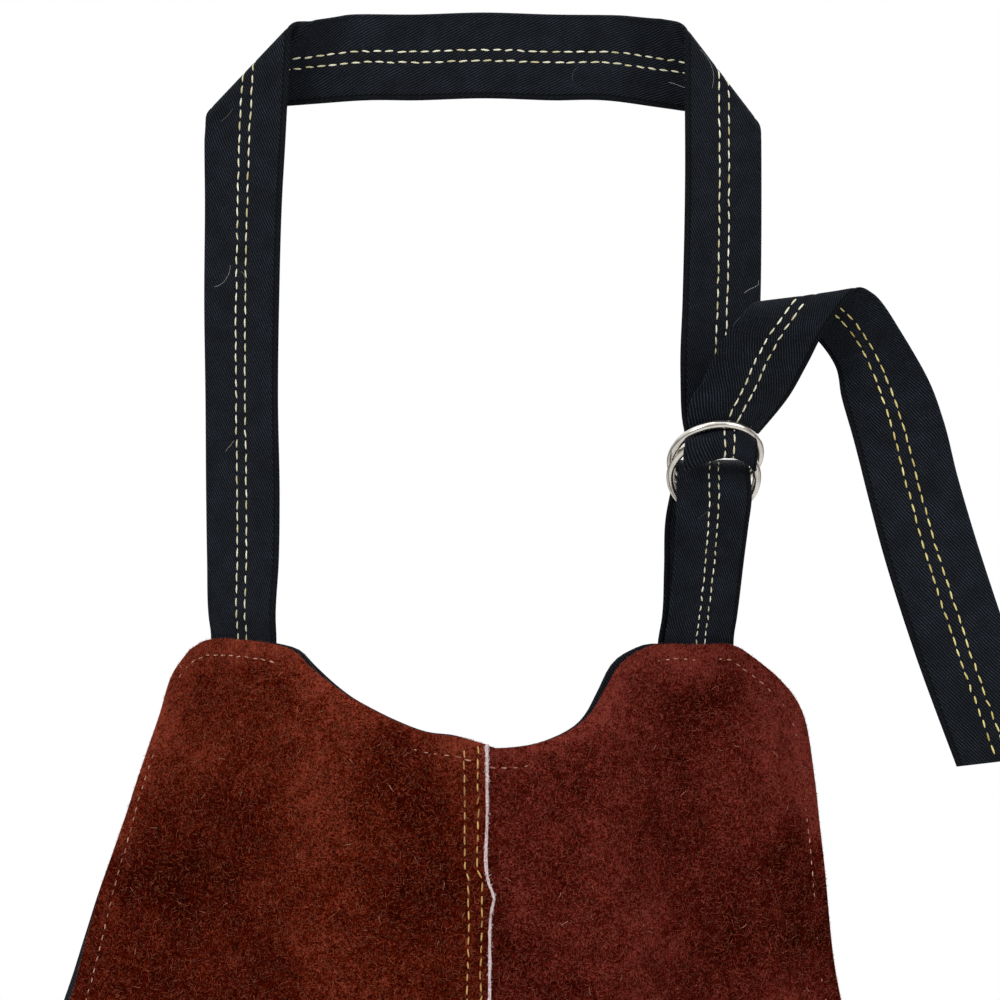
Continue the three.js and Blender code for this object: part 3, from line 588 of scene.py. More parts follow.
def suede_material(name, nap, deep, middle, raised):
    material, tree, shader = start_material(name)
    outputs = use_group(tree, nap, Deep=deep, Middle=middle, Raised=raised)
    tree.links.new(outputs["Color"], shader.inputs["Base Color"])
    shader.inputs["Roughness"].default_value = 0.95
    shader.inputs["Specular IOR Level"].default_value = 0.0
    roughen(tree, shader, outputs["Height"], 0.6, 0.0006)
    return material


def twill_material(name, twill, ground, rib, pitch, slant, fold):
    material, tree, shader = start_material(name)
    slant = math.radians(slant)
    outputs = use_group(tree, twill, Ground=ground, Rib=rib, Pitch=pitch, Slant=slant, Fold=fold)
    tree.links.new(outputs["Color"], shader.inputs["Base Color"])
    shader.inputs["Roughness"].default_value = 0.82
    shader.inputs["Specular IOR Level"].default_value = 0.1
    shader.inputs["Sheen Weight"].default_value = 0.03
    shader.inputs["Sheen Tint"].default_value = colour(140, 150, 175)
    roughen(tree, shader, outputs["Height"], 0.8, 0.0004)
    return material


def thread_material(name, strand, dark, light):
    material, tree, shader = start_material(name)
    outputs = use_group(tree, strand, Dark=dark, Light=light, Unevenness=0.6)
    tree.links.new(outputs["Color"], shader.inputs["Base Color"])
    shader.inputs["Roughness"].default_value = 0.6
    shader.inputs["Sheen Weight"].default_value = 0.2
    roughen(tree, shader, outputs["Height"], 0.5, 0.0002)
    return material


def fibre_material(name, strand, dark, light):
    material, tree, shader = start_material(name)
    outputs = use_group(tree, strand, Dark=dark, Light=light, Unevenness=0.2)
    tree.links.new(outputs["Color"], shader.inputs["Base Color"])
    shader.inputs["Roughness"].default_value = 0.8
    shader.inputs["Specular IOR Level"].default_value = 0.05
    return material


def raw_edge_material(name, dark, light):
    """The cut edge of the hide: pale, fibrous, stained here and there."""
    material, tree, shader = start_material(name)
    place = tree.nodes.new("ShaderNodeTexCoord").outputs["Object"]
    fibres = noise(tree, place, 900.0, 4.0, 0.65, 0.6)
    stains = noise(tree, place, 45.0, 2.0)
    share = calc(tree, "MULTIPLY", remap(tree, fibres, 0.3, 0.6), remap(tree, stains, 0.3, 0.5, 0.55, 1.0))
    tree.links.new(blend_colours(tree, share, dark, light), shader.inputs["Base Color"])
    shader.inputs["Roughness"].default_value = 0.9
    roughen(tree, shader, fibres, 0.8, 0.0006)
    return material


def nickel_material(name):
    """Bright nickel plate with faint rubbing and a little tarnish."""
    material, tree, shader = start_material(name)
    place = tree.nodes.new("ShaderNodeTexCoord").outputs["Object"]
    tarnish = noise(tree, place, 160.0, 4.0, 0.6)
    rubbing = noise(tree, drawn_out(tree, place, 25, 6), 900.0, 2.0, 0.6)
    base = blend_colours(tree, remap(tree, tarnish, 0.45, 0.75), colour(212, 208, 200), colour(170, 161, 150))
    tree.links.new(base, shader.inputs["Base Color"])
    tree.links.new(remap(tree, tarnish, 0.3, 0.7, 0.1, 0.2), shader.inputs["Roughness"])
    shader.inputs["Metallic"].default_value = 0.95
    roughen(tree, shader, rubbing, 0.04, 0.0002)
    return material


def floor_material(name):
    material, tree, shader = start_material(name)
    place = tree.nodes.new("ShaderNodeTexCoord").outputs["Object"]
    base = blend_colours(tree, noise(tree, place, 3.0, 3.0), colour(236, 235, 233), colour(243, 242, 240))
    tree.links.new(base, shader.inputs["Base Color"])
    shader.inputs["Roughness"].default_value = 0.8
    return material


# Straps.

class Strap:
    """A strap's stations: its middle, the way to one edge, and how far both edges are bowed."""

    def __init__(self):
        self.middles, self.edges, self.bows = [], [], []

    def add(self, middle, edge, bow=(0.0, 0.0, 0.0)):
        self.middles.append(np.array(middle, float))
        self.edges.append(np.array(edge, float))
        self.bows.append(np.array(bow, float))

    def lead_to(self, middle, edge):
        """Stations in a straight run from the last one towards the next one."""
        first_middle, first_edge = self.middles[-1], self.edges[-1]
        for share in np.arange(1, LEAD_STATIONS + 1) / (LEAD_STATIONS + 1):
            self.add(first_middle + (middle - first_middle) * share, first_edge + (edge - first_edge) * share)

    def add_turned(self, rows, inward, lead=False):
        for index in range(len(rows["x"])):
            angle = math.radians(rows["turn"][index])
            half = rows["half"][index] if "half" in rows else STRAP_HALF
            edge = np.array([inward * math.cos(angle), -math.sin(angle), 0]) * half
            middle = np.array([rows["x"][index], rows["y"][index], rows["z"][index]])
            if lead and index == 0:
                self.lead_to(middle, edge)
            self.add(middle, edge)

    def add_rows(self, rows):
        for row in zip(*rows.values()):
            self.add(row[:3], row[3:6], row[6:])

    def add_sewn(self, x, z, edge_x, edge_z, behind):
        middle, near, far = (on_drape(x + s * edge_x, z + s * edge_z, behind) for s in (0, 1, -1))
        self.add(middle, (near - far) / 2, (near + far) / 2 - middle)

    def add_fold(self, middle, ruling, along, behind, radius, backwards=False):
        crease = unit(ruling)
        outwards = unit(along - crease * np.dot(along, crease))
        advance = radius * np.dot(along, crease) / np.dot(along, outwards)
        places = []
        for step in range(FOLD_STEPS + 1):
            angle = math.pi * step / FOLD_STEPS
            places.append(middle + outwards * radius * (math.sin(angle) - 1)
                          + behind * radius * (1 - math.cos(angle))
                          + crease * advance * (angle - math.pi / 2))
        places = places[::-1] if backwards else places
        self.lead_to(places[0], ruling)
        for place in places:
            self.add(place, ruling)

    def refined(self, step):
        """Smooth values between the stations, about a step apart: middle, edge and bow."""
        values = np.concatenate([self.middles, self.edges, self.bows], axis=1)
        spans = np.linalg.norm(np.diff(values[:, :3], axis=0), axis=1)
        before = np.concatenate([spans[:1], spans])[:, None]
        after = np.concatenate([spans, spans[-1:]])[:, None]
        coming = np.vstack([np.zeros((1, 9)), np.diff(values, axis=0)]) * after / before
        going = np.vstack([np.diff(values, axis=0), np.zeros((1, 9))]) * before / after
        slopes = (coming + going) / (before + after)
        lines = []
        for index, span in enumerate(spans):
            count = max(2, math.ceil(span / step))
            t = np.linspace(0, 1, count, endpoint=False)[:, None]
            lines.append((2 * t**3 - 3 * t**2 + 1) * values[index] + (3 * t**2 - 2 * t**3) * values[index + 1]
                         + span * ((t**3 - 2 * t**2 + t) * slopes[index] + (t**3 - t**2) * slopes[index + 1]))
        lines = np.vstack(lines + [values[-1:]])
        return lines[:, :3], lines[:, 3:6], lines[:, 6:]


def neck_fold(strap, fold, inward, backwards=False):
    angle = math.radians(fold["turn"])
    behind = np.array([inward * math.sin(angle), math.cos(angle), 0])
    ruling = np.array([inward * fold["crease_x"], -fold["crease_x"] * math.tan(angle), fold["crease_z"]])
    strap.add_fold(np.array(fold["place"]), ruling, UP, behind, NECK_FOLD_RADIUS, backwards)


def neck_strap_route():
    strap = Strap()
    half = STRAP_HALF * math.cos(math.radians(LEFT_STRAND["turn"][0]))
    for depth in (SEWN_DEPTH, SEWN_DEPTH / 2, 0):
        strap.add_sewn(LEFT_SEWN_X, LEFT_CORNER_TOP - depth, half, 0, STRAP_LAYER)
    strap.add_turned(LEFT_STRAND, 1)
    neck_fold(strap, NECK_FOLD_LEFT, 1)
    for index, (x, y, z, lean) in enumerate(zip(*NECK_BACK.values())):
        angle = math.radians(lean)
        middle = np.array([x, y, z])
        edge = np.array([math.cos(angle), 0, math.sin(angle)]) * STRAP_HALF
        if index == 0:
            strap.lead_to(middle, edge)
        strap.add(middle, edge)
    neck_fold(strap, NECK_FOLD_RIGHT, -1, backwards=True)
    strap.add_turned(RIGHT_STRAND, -1, lead=True)
    strap.add_rows(RING_PASSAGE)
    for turn in map(math.radians, WRAP_TURNS):
        down = math.sin(turn) * (WRAP["drop"] if turn < math.pi else WRAP["radius"])
        middle = np.array(WRAP["place"]) + (0, WRAP["radius"] * math.cos(turn), -down)
        strap.add(middle, WRAP["edge"], WRAP["bow"] - UP * WRAP["dip"] * math.sin(turn))
    strap.add_rows(TAIL)
    return strap


def ring_tab_route():
    strap = Strap()
    half = -STRAP_HALF * math.cos(math.radians(TAB["turn"][0]))
    for depth in (SEWN_DEPTH, SEWN_DEPTH / 2, 0):
        strap.add_sewn(TAB_SEWN_X + TAB_FRONT_SHIFT, RIGHT_CORNER_TOP - depth, -TAB_FRONT_HALF, 0, STRAP_LAYER)
    strap.add_turned(TAB, -1)
    for depth in (0, SEWN_DEPTH / 2, SEWN_DEPTH):
        strap.add_sewn(TAB_SEWN_X, RIGHT_CORNER_TOP - depth, half, 0, STRAP_LAYER + STRAP_STEP)
    return strap


def waist_tie_route(side):
    strap = Strap()
    edge_x = side_edge_x(side, TIE_HEIGHT)
    for depth in (TIE_SEWN_DEPTH, TIE_SEWN_DEPTH / 2, 0):
        strap.add_sewn(edge_x - side * depth, TIE_HEIGHT, 0, STRAP_HALF, STRAP_LAYER)
    leaving = unit((strap.middles[2] - strap.middles[1]) * (1, 1, 0))
    behind = np.array([-leaving[1] * side, leaving[0] * side, 0])
    ruling = (UP - leaving) * STRAP_HALF
    strap.add_fold(strap.middles[2] + leaving * TIE_REACH, ruling, leaving, behind, TIE_FOLD_RADIUS)
    bottom = strap.middles[-1]
    for z in (TIE_HEIGHT - 2 * STRAP_HALF, (TIE_HEIGHT + TIE_END) / 2, TIE_END):
        strap.add((bottom[0], bottom[1], z), -leaving * STRAP_HALF)
    return strap


# Across a strap, in millimetres from its middle: close together at the stitch rows and the edges.
HALF_COLUMNS = [
    1.3, 2.2, 2.75, 3.3, 4.0, 5.4, 7.5, 11, 15, 18.2, 19.0, 19.6, 20.4, 21.3, 21.8, STRAP_HALF,
]
STRAP_COLUMNS = np.array([-u for u in HALF_COLUMNS[::-1]] + [0.0] + HALF_COLUMNS)
STRAP_STEP_LENGTH = 2.2
STITCH_ROWS = (-2.75, 2.75)
STITCH_DIP = 0.34
STITCH_DIP_WIDTH = 0.75
EDGE_FOLD_DIP = 0.3
EDGE_FOLD_WIDTH = 0.5
EDGE_ROUND = 1.4
LINT_STATIONS = 10
LINT_LENGTH = (5.0, 18.0)
LINT_WIDTH = 0.13
LINT_PER_MILLIMETRE = 0.03
LINT_LEAST = 6
LINT_BEND = 1.3
LINT_WAVE = 0.4
LINT_SPREAD = 15.0
LINT_REACH = 20.0
LINT_END = 30.0
LINT_LIFT = 0.15
LINT_ARCH = 0.3
LINT_FRONT_SHARE = 0.6


def strap_profile(u):
    """Half the strap's thickness across its width: rounded edges, a turned edge and sewn channels."""
    beyond = np.clip((abs(u) - (STRAP_HALF - EDGE_ROUND)) / EDGE_ROUND, 0, 1)
    half = STRAP_THICKNESS / 2 * np.sqrt(1 - beyond**2)
    for row in STITCH_ROWS:
        half = half - STITCH_DIP * np.exp(-(((u - row) / STITCH_DIP_WIDTH) ** 2))
    return half - EDGE_FOLD_DIP * np.exp(-(((abs(u) - EDGE_FOLD) / EDGE_FOLD_WIDTH) ** 2))


class StrapSurface:
    """A strap's middle surface with its normals and the distance along it."""

    def __init__(self, route):
        middle, edge, bow = route.refined(STRAP_STEP_LENGTH)
        share = (STRAP_COLUMNS / STRAP_HALF)[None, :, None]
        self.lines = middle[:, None] + edge[:, None] * share + bow[:, None] * share**2
        across = np.gradient(self.lines, axis=1)
        ahead = np.gradient(self.lines, axis=0)
        self.normals = unit(np.cross(across, ahead))
        self.along = np.concatenate([[0], np.cumsum(np.linalg.norm(np.diff(middle, axis=0), axis=1))])
        slip = np.sum(edge * unit(np.gradient(middle, axis=0)), axis=1)
        self.weave = self.along[:, None] + slip[:, None] * share[..., 0]

    def build(self, name, material):
        half = strap_profile(STRAP_COLUMNS)[None, :, None]
        front = self.lines + self.normals * half
        back = self.lines - self.normals * half
        rows, columns = front.shape[:2]
        loop = np.concatenate([front, back[:, -2:0:-1]], axis=1)
        around = loop.shape[1]
        index = np.arange(rows * around).reshape(rows, around)
        ahead = np.roll(index, -1, axis=1)
        quads = np.stack([index[:-1], index[1:], ahead[1:], ahead[:-1]], -1)
        loop_u = np.concatenate([STRAP_COLUMNS, -STRAP_COLUMNS[-2:0:-1]])
        next_u = np.roll(loop_u, -1)
        next_u[columns - 2] = STRAP_COLUMNS[-1]
        loop_u[columns - 1] = -STRAP_COLUMNS[-1]
        next_u[-1] = -STRAP_COLUMNS[0]
        loop_v = np.concatenate([self.weave, self.weave[:, -2:0:-1]], axis=1)
        next_v = np.roll(loop_v, -1, axis=1)
        flat = np.zeros((rows - 1, around))
        corners = ((loop_u, loop_v[:-1]), (loop_u, loop_v[1:]), (next_u, next_v[1:]), (next_u, next_v[:-1]))
        uv = np.stack([np.stack([flat + u, v], -1) for u, v in corners], 2)
        faces, maps = quads.reshape(-1, 4), uv.reshape(-1, 4, 2)
        caps, cap_maps = [], []
        for row, flip in ((0, False), (rows - 1, True)):
            for column in range(columns - 1):
                cap = [column, column + 1, (around - column - 1) % around, (around - column) % around]
                cap = list(dict.fromkeys(int(index[row, c]) for c in cap))
                caps.append(cap[::-1] if flip else cap)
                cap_maps.append([(STRAP_COLUMNS[column], self.along[row])] * len(cap))
        points = loop.reshape(-1, 3)
        faces = [tuple(face) for face in faces] + [tuple(cap) for cap in caps]
        piece = make_piece(name, points, faces, [material], face_uv=list(maps) + cap_maps)
        shade(piece, STRAP_SMOOTH)
        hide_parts(name)
        return piece

    def on_face(self, u, v, side):
        """Places and normals on one face, at distances across the strap and along it."""
        column = np.interp(u, STRAP_COLUMNS, np.arange(len(STRAP_COLUMNS)))
        row = np.interp(v, self.along, np.arange(len(self.along)))
        left = np.minimum(column.astype(int), len(STRAP_COLUMNS) - 2)
        low = np.minimum(row.astype(int), len(self.along) - 2)
        a, b = (column - left)[..., None], (row - low)[..., None]
        place, normal = ((grid[low, left] * (1 - a) + grid[low, left + 1] * a) * (1 - b)
                         + (grid[low + 1, left] * (1 - a) + grid[low + 1, left + 1] * a) * b
                         for grid in (self.lines, self.normals))
        normal = unit(normal) * side
        return place + normal * strap_profile(u)[..., None], normal

    def stitch_path(self, u, side):
        """Places and normals along a stitch row on one face."""
        return self.on_face(np.full(len(self.along), u), self.along, side)

    def lint(self, name, count, seed, material):
        """Loose hairs that cling to both faces of the strap."""
        random = np.random.default_rng(seed)
        t = np.linspace(0, 1, LINT_STATIONS)
        points, faces, tones = [], [], []
        for hair in range(count):
            length = random.uniform(*LINT_LENGTH)
            way = random.uniform(0, 2 * math.pi) + random.normal(0, LINT_BEND) * t
            way = way + random.normal(0, LINT_WAVE) * np.sin(5 * t)
            u = random.uniform(-LINT_SPREAD, LINT_SPREAD) + np.cumsum(np.cos(way)) * length / LINT_STATIONS
            v = random.uniform(LINT_END, self.along[-1] - LINT_END)
            v = v + np.cumsum(np.sin(way)) * length / LINT_STATIONS
            side = 1 if random.random() < LINT_FRONT_SHARE else -1
            place, normal = self.on_face(np.clip(u, -LINT_REACH, LINT_REACH), v, side)
            place = place + normal * (LINT_LIFT + LINT_ARCH * np.sin(math.pi * t))[:, None]
            aside = unit(np.cross(normal, np.gradient(place, axis=0))) * LINT_WIDTH / 2
            start = len(points) * 2 * LINT_STATIONS
            points.append(np.stack([place - aside, place + aside], 1).reshape(-1, 3))
            faces += [(k, k + 1, k + 3, k + 2) for k in range(start, start + 2 * LINT_STATIONS - 2, 2)]
            tones += [random.uniform(0, 1)] * (2 * LINT_STATIONS)
        piece = make_piece(name, np.concatenate(points), faces, [material], tone=tones)
        return piece

    def length(self):
        return float(self.along[-1])


# Stitches.

STITCH_SIDES = 6
STITCH_STATIONS = 7
# Each kind of row: pitch, stitch length, half width, half height and lift, in millimetres.
STRAP_THREAD = (6.1, 4.5, 0.46, 0.36, 0.55)
TAB_THREAD = (5.0, 3.2, 0.38, 0.36, 0.55)
EDGE_THREAD = (5.5, 3.7, 0.32, 0.26, 0.42)
HEM_THREAD = (5.4, 3.7, 0.4, 0.3, 0.42)
SEAM_THREAD = (6.0, 4.6, 0.4, 0.32, 0.6)
EDGE_SINK = 0.9
HEM_SINK = 0.55
SEAM_SINK = 0.2
ROW_START = 8.0
# How unevenly the stitches lie: spreads of their start, length, sideways place and slant, cover and tone.
STITCH_START = (0.1, 0.4)
STITCH_SLIP = 0.035
STITCH_LENGTHS = (0.92, 1.08)
STITCH_DRIFT = 0.12
STITCH_SLANT = 0.35
STITCH_COVER = (0.75, 1.15)
STITCH_TONE = (0.5, 0.22)


class Stitches:
    """Many small stitches joined into one mesh, each with its own tone."""

    def __init__(self, seed):
        self.random = np.random.default_rng(seed)
        self.points, self.tones = [], []

    def sew(self, path, thread, start=0.0, end=0.0, sink=0.0, cover=None):
        """A row of stitches along a path. Cover gives each one's share of the sink, by its place."""
        pitch, length, half_width, half_height, lift = thread
        places, normals = path
        along = np.concatenate([[0], np.cumsum(np.linalg.norm(np.diff(places, axis=0), axis=1))])
        t = np.linspace(0, 1, STITCH_STATIONS)
        swell = np.sin(math.pi * np.clip(t, 0.04, 0.96))
        angles = 2 * math.pi * np.arange(STITCH_SIDES) / STITCH_SIDES
        first = start + pitch * self.random.uniform(*STITCH_START)
        for begin in np.arange(first, along[-1] - end - length, pitch):
            begin = begin + self.random.normal(0, STITCH_SLIP) * pitch
            here = begin + t * length * self.random.uniform(*STITCH_LENGTHS)
            middle = np.stack([np.interp(here, along, column) for column in places.T], -1)
            normal = unit(np.stack([np.interp(here, along, column) for column in normals.T], -1))
            ahead = unit(np.gradient(middle, axis=0))
            side = unit(np.cross(ahead, normal))
            drift = self.random.normal(0, STITCH_DRIFT) + (t - 0.5) * self.random.normal(0, STITCH_SLANT)
            if cover is None:
                buried = sink * self.random.uniform(0, 1) ** 2
            else:
                buried = sink * (cover(middle[STITCH_STATIONS // 2]) * self.random.uniform(*STITCH_COVER))
            height = lift * swell**0.6 - half_height - buried
            middle = middle + side * drift[:, None] + normal * height[:, None]
            round_it = (np.cos(angles)[:, None] * half_width, np.sin(angles)[:, None] * half_height)
            girth = 0.45 + 0.55 * swell**0.5
            for index in range(STITCH_STATIONS):
                ring = side[index] * round_it[0] + normal[index] * round_it[1]
                self.points.append(middle[index] + girth[index] * ring)
            tone = float(np.clip(self.random.normal(*STITCH_TONE), 0, 1))
            self.tones += [tone] * (STITCH_SIDES * STITCH_STATIONS)

    def build(self, name, material, slot):
        points = np.concatenate(self.points)
        each = STITCH_SIDES * STITCH_STATIONS
        ring = np.arange(STITCH_SIDES)
        faces = []
        for station in range(STITCH_STATIONS - 1):
            base = station * STITCH_SIDES
            following = (ring + 1) % STITCH_SIDES
            faces.append(np.stack([base + ring, base + STITCH_SIDES + ring,
                                   base + STITCH_SIDES + following, base + following], -1))
        sides = np.concatenate(faces)
        last = (STITCH_STATIONS - 1) * STITCH_SIDES
        joined = []
        for start in range(0, len(points), each):
            joined += (sides + start).tolist()
            joined.append((start + ring).tolist())
            joined.append((start + last + ring[::-1]).tolist())
        faces = joined if self.faces_out(points, joined[:len(sides)]) else [face[::-1] for face in joined]
        piece = make_piece(name, points, faces, [material], tone=self.tones)
        shade(piece, STITCH_SMOOTH)
        return piece

    @staticmethod
    def faces_out(points, faces):
        faces = np.array(faces)
        centre = points[np.unique(faces)].mean(0)
        a, b, c = (points[faces[:, k]] - centre for k in range(3))
        return np.einsum("ij,ij->", a, np.cross(b, c)) > 0


# The suede panels.

NEAR_STEP = 1.2
NEAR_COUNT = 12
TOP_NEAR_COUNT = 14
HEM_NEAR_COUNT = 6
LAP_NEAR_COUNT = 2
PANEL_ROWS = 230
PANEL_COLUMNS = 90
PANEL_HEIGHT = 820.0
LINE_STEP = 1.5
BATCH = 4000
HEM_ROW = 7.0
# How deep inside the edges the row of stitches runs, by the distance past the panel's upper outer corner.
EDGE_ROW = {
    "left": table("past depth", [
        (-150, 7.8), (-122, 6.4), (-95, 4.9), (-80, 3.6), (-20, 3.6), (-8, 4.4), (0, 6), (15, 8.2), (45, 8.4),
        (75, 9.4),
    ]),
    "right": table("past depth", [
        (-160, 7.8), (-110, 6.6), (-40, 6.6), (-20, 7.6), (35, 7.6), (45, 7.2), (75, 9.4),
    ]),
}
NAP_COUNT = 36000
STRAY_COUNT = 170
FUZZ_COUNT = 9000
RAW_FIBRE_COUNT = 4000
RAW_CROWDING = 1.6
# How much of the stitches is lost in the nap: along the neckline and the corners, then down the two sides.
NAP_COVER = table("x share", [
    (-160, 0.1), (-104, 0.05), (-97, 0.5), (-82, 1), (-42, 1), (-34, 0.3), (-16, 0.1), (4, 0.05), (18, 0.1),
    (26, 0.6), (36, 1), (76, 1), (85, 0.2), (98, 0.05), (105, 0.3), (117, 0.4), (123, 0.1), (140, 0.15),
])
LEFT_COVER = table("z share", [(-318, 0.15), (-325, 0.85), (-344, 0.85), (-352, 0.3), (-385, 0.15)])
RIGHT_COVER = table("z share", [
    (-312, 0.15), (-330, 0.3), (-375, 0.38), (-395, 0.1), (-420, 0.15), (-440, 0.4), (-480, 0.3),
])
LEFT_SIDE_FROM = -150.0
RIGHT_SIDE_FROM = 145.0
# The two rows beside the seam keep these distances from a line of their own.
SEAM_ROWS = (4.2, 10.4)
SEAM_ROW_LINE = table("x z", [
    (1.9, -345.4), (1.9, -404), (4.0, -411), (3.4, -450), (3.3, -800), (3.3, -1146),
])
ROW_DIP = 0.5
ROW_DIP_WIDTH = 1.3
RAW_EDGE_COLUMNS = 3
RAW_WIDTH = 1.3
RAW_DEPTH_SHARE = 0.92
RAGGED = 0.16
UNDER_SHIFT = SKIVE / 2 - 0.6
UNDER_STEP = 0.2
# Wear of the nap, with painted highlight on the folds and painted shade between them: how far it reaches in from
# the edges, the fold height for full painted light and its limit, the heights between which it fades, and how
# strong it is.
WORN_REACH = 17.0
DARK_REACH = 46.0
FOLD_SHADE_RISE = 15.0
WORN_TOP = -380.0
WORN_BOTTOM = -432.0
FOLD_SHADE_LIMIT = 0.6
WORN_EDGES = 0.75
DARK_EDGES = 0.45
# Lighter and darker spots of the nap; those at the ring tab's sewn end are painted highlight and painted shadow.
WEAR_AND_SHADE_SPOTS = table("x z reach amount", [
    (62, -405, 28, -0.4), (-26, -372, 16, -0.35), (-26, -418, 18, -0.3), (88, -362, 20, 0.3),
    (108, -432, 22, 0.2), (14, -408, 20, -0.25), (-140, -368, 30, 0.25), (97, -313, 9, 0.45),
    (112, -314, 9, 0.45), (122, -345, 15, -0.2), (150, -452, 26, -0.3), (-146, -320, 34, 0.55),
    (-58, -335, 14, 0.5), (158, -345, 22, 0.65), (168, -388, 20, 0.5), (-14, -352, 14, 0.4),
    (-184, -396, 22, 0.4), (-12, -436, 14, 0.25), (34, -430, 16, 0.2), (99, -328, 8, -0.4),
    (112, -327, 8, -0.5), (126, -329, 9, -0.4),
])


def spread(length, near_first, near_last, far):
    """Shares along a length: near ones a small step apart at both ends, far ones evenly between."""
    length = np.asarray(length, float)[..., None]
    first = np.arange(near_first) * NEAR_STEP / length
    last = 1 - np.arange(near_last)[::-1] * NEAR_STEP / length
    between = np.linspace(0, 1, far + 2)[1:-1]
    start, end = first[..., -1:], last[..., :1]
    return np.concatenate([first, start + (end - start) * between, last], axis=-1)


def distance_to(places, curve):
    """How far each place lies from an edge, in the picture plane."""
    flat = places.reshape(-1, places.shape[-1])[:, :2]
    line = at_share(curve, np.linspace(0, 1, int(curve[1][-1] / LINE_STEP) + 2))[:, :2]
    nearest = np.full(len(flat), np.inf)
    for start in range(0, len(flat), BATCH):
        part = flat[start:start + BATCH]
        gaps = np.linalg.norm(part[:, None] - line[None], axis=-1)
        nearest[start:start + BATCH] = gaps.min(1)
    return nearest.reshape(places.shape[:-1])


def panel_places(top, hem, left, right, left_near, right_near):
    """A panel's grid of places, close together along its sewn edges."""
    far_rows = PANEL_ROWS - TOP_NEAR_COUNT - HEM_NEAR_COUNT
    v_line = spread(PANEL_HEIGHT, TOP_NEAR_COUNT, HEM_NEAR_COUNT, far_rows)
    widths = np.linalg.norm(at_share(right, v_line)[:, :2] - at_share(left, v_line)[:, :2], axis=-1)
    u = spread(widths, left_near, right_near, PANEL_COLUMNS)
    v = np.repeat(v_line[:, None], u.shape[1], axis=1)
    return fill_edges(top, hem, left, right, u, v)


def seam_row_x(z, row):
    return np.interp(-z, -SEAM_ROW_LINE["z"], SEAM_ROW_LINE["x"]) - row


def row_dip(distance):
    return ROW_DIP * np.exp(-((distance / ROW_DIP_WIDTH) ** 2))


def edge_channel(places, lines):
    """How far the front is drawn in by the rows of stitches along the outer edges."""
    return np.maximum.reduce([row_dip(distance_to(places, measured(line))) for line in lines])


def worn_edge(places, top, side):
    """Nap tone: painted highlight on the folds and painted shade between them, upper edges rubbed lighter, darker
    low down.
    """
    x, z = places[..., 0], places[..., 1]
    worn = np.clip(fold_rise(x, z) / FOLD_SHADE_RISE, -FOLD_SHADE_LIMIT, FOLD_SHADE_LIMIT)
    for spot_x, spot_z, reach, amount in zip(*WEAR_AND_SHADE_SPOTS.values()):
        worn = worn + amount * np.exp(-((x - spot_x) ** 2 + (z - spot_z) ** 2) / reach**2)
    upper = smooth((z - WORN_BOTTOM) / (WORN_TOP - WORN_BOTTOM))
    to_side = distance_to(places, side)
    near_top = 1 - smooth(distance_to(places, top) / WORN_REACH)
    near_side = (1 - smooth(to_side / WORN_REACH)) * upper
    low = (1 - smooth(to_side / DARK_REACH)) * (1 - upper)
    return worn + WORN_EDGES * np.maximum(near_top, near_side) - DARK_EDGES * low


def build_left_panel(curves, lines, suede, raw_edge):
    top, side, hem, seam = (curves[name] for name in ("left_top", "left_side", "left_hem", "seam"))
    places = panel_places(top, hem, side, seam, NEAR_COUNT, NEAR_COUNT)
    x, z = places[..., 0], places[..., 1]
    dip = edge_channel(places, lines) + sum(row_dip(abs(x - seam_row_x(z, row))) for row in SEAM_ROWS)
    behind = left_panel_behind(x)
    shift = np.zeros(x.shape[1])
    shift[-1] = -RAW_WIDTH / 2
    front = on_drape(x + shift, z, behind - SUEDE_THICKNESS / 2 + dip)
    shift[-1] = UNDER_SHIFT
    back = on_drape(x + shift, z, behind + SUEDE_THICKNESS / 2)
    ragged = np.random.default_rng(SEED).normal(0, RAGGED, (len(x), RAW_EDGE_COLUMNS))
    for column in range(RAW_EDGE_COLUMNS):
        share = RAW_DEPTH_SHARE * (column + 1) / RAW_EDGE_COLUMNS
        edge_x = x[:, -1] + RAW_WIDTH * (share - 0.5) + ragged[:, column]
        edge_behind = behind[:, -1] - SUEDE_THICKNESS / 2 + SUEDE_THICKNESS * share
        front = np.concatenate([front, on_drape(edge_x, z[:, -1], edge_behind)[:, None]], axis=1)
        under_x = x[:, -1] + UNDER_SHIFT + UNDER_STEP * (column + 1) + ragged[:, -1]
        under = on_drape(under_x, z[:, -1], behind[:, -1] + SUEDE_THICKNESS / 2)
        back = np.concatenate([back, under[:, None]], axis=1)
    points, faces = wall(front, back)
    rows, columns = front.shape[:2]
    finish = np.zeros(len(faces), dtype=np.int32)
    column_of = np.tile(np.arange(columns - 1), rows - 1)
    finish[:len(column_of)] = column_of >= columns - 1 - RAW_EDGE_COLUMNS
    worn = np.pad(worn_edge(places, top, side), ((0, 0), (0, RAW_EDGE_COLUMNS)), mode="edge")
    worn = np.concatenate([worn.ravel(), worn.ravel()])
    piece = make_piece("left_panel", points, faces, [suede, raw_edge], face_material=finish, worn=worn)
    shade(piece, SHEET_SMOOTH)
    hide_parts("left_panel")
    return piece, places


def build_right_panel(curves, lines, suede):
    top, side, hem, under = (curves[name] for name in ("right_top", "right_side", "right_hem", "under"))
    places = panel_places(top, hem, under, side, LAP_NEAR_COUNT, NEAR_COUNT)
    x, z = places[..., 0], places[..., 1]
    dip = edge_channel(places, lines)
    front = on_drape(x, z, dip - SUEDE_THICKNESS / 2)
    back = on_drape(x, z, np.full(x.shape, SUEDE_THICKNESS / 2))
    points, faces = wall(front, back)
    worn = worn_edge(places, top, side).ravel()
    piece = make_piece("right_panel", points, faces, [suede], worn=np.concatenate([worn, worn]))
    shade(piece, SHEET_SMOOTH)
    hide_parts("right_panel")
    return piece, places


LINING_COLUMNS = 44
LINING_ROWS = 130
ROW_CROWDING = 1.35
JOINT_COLUMNS = 2


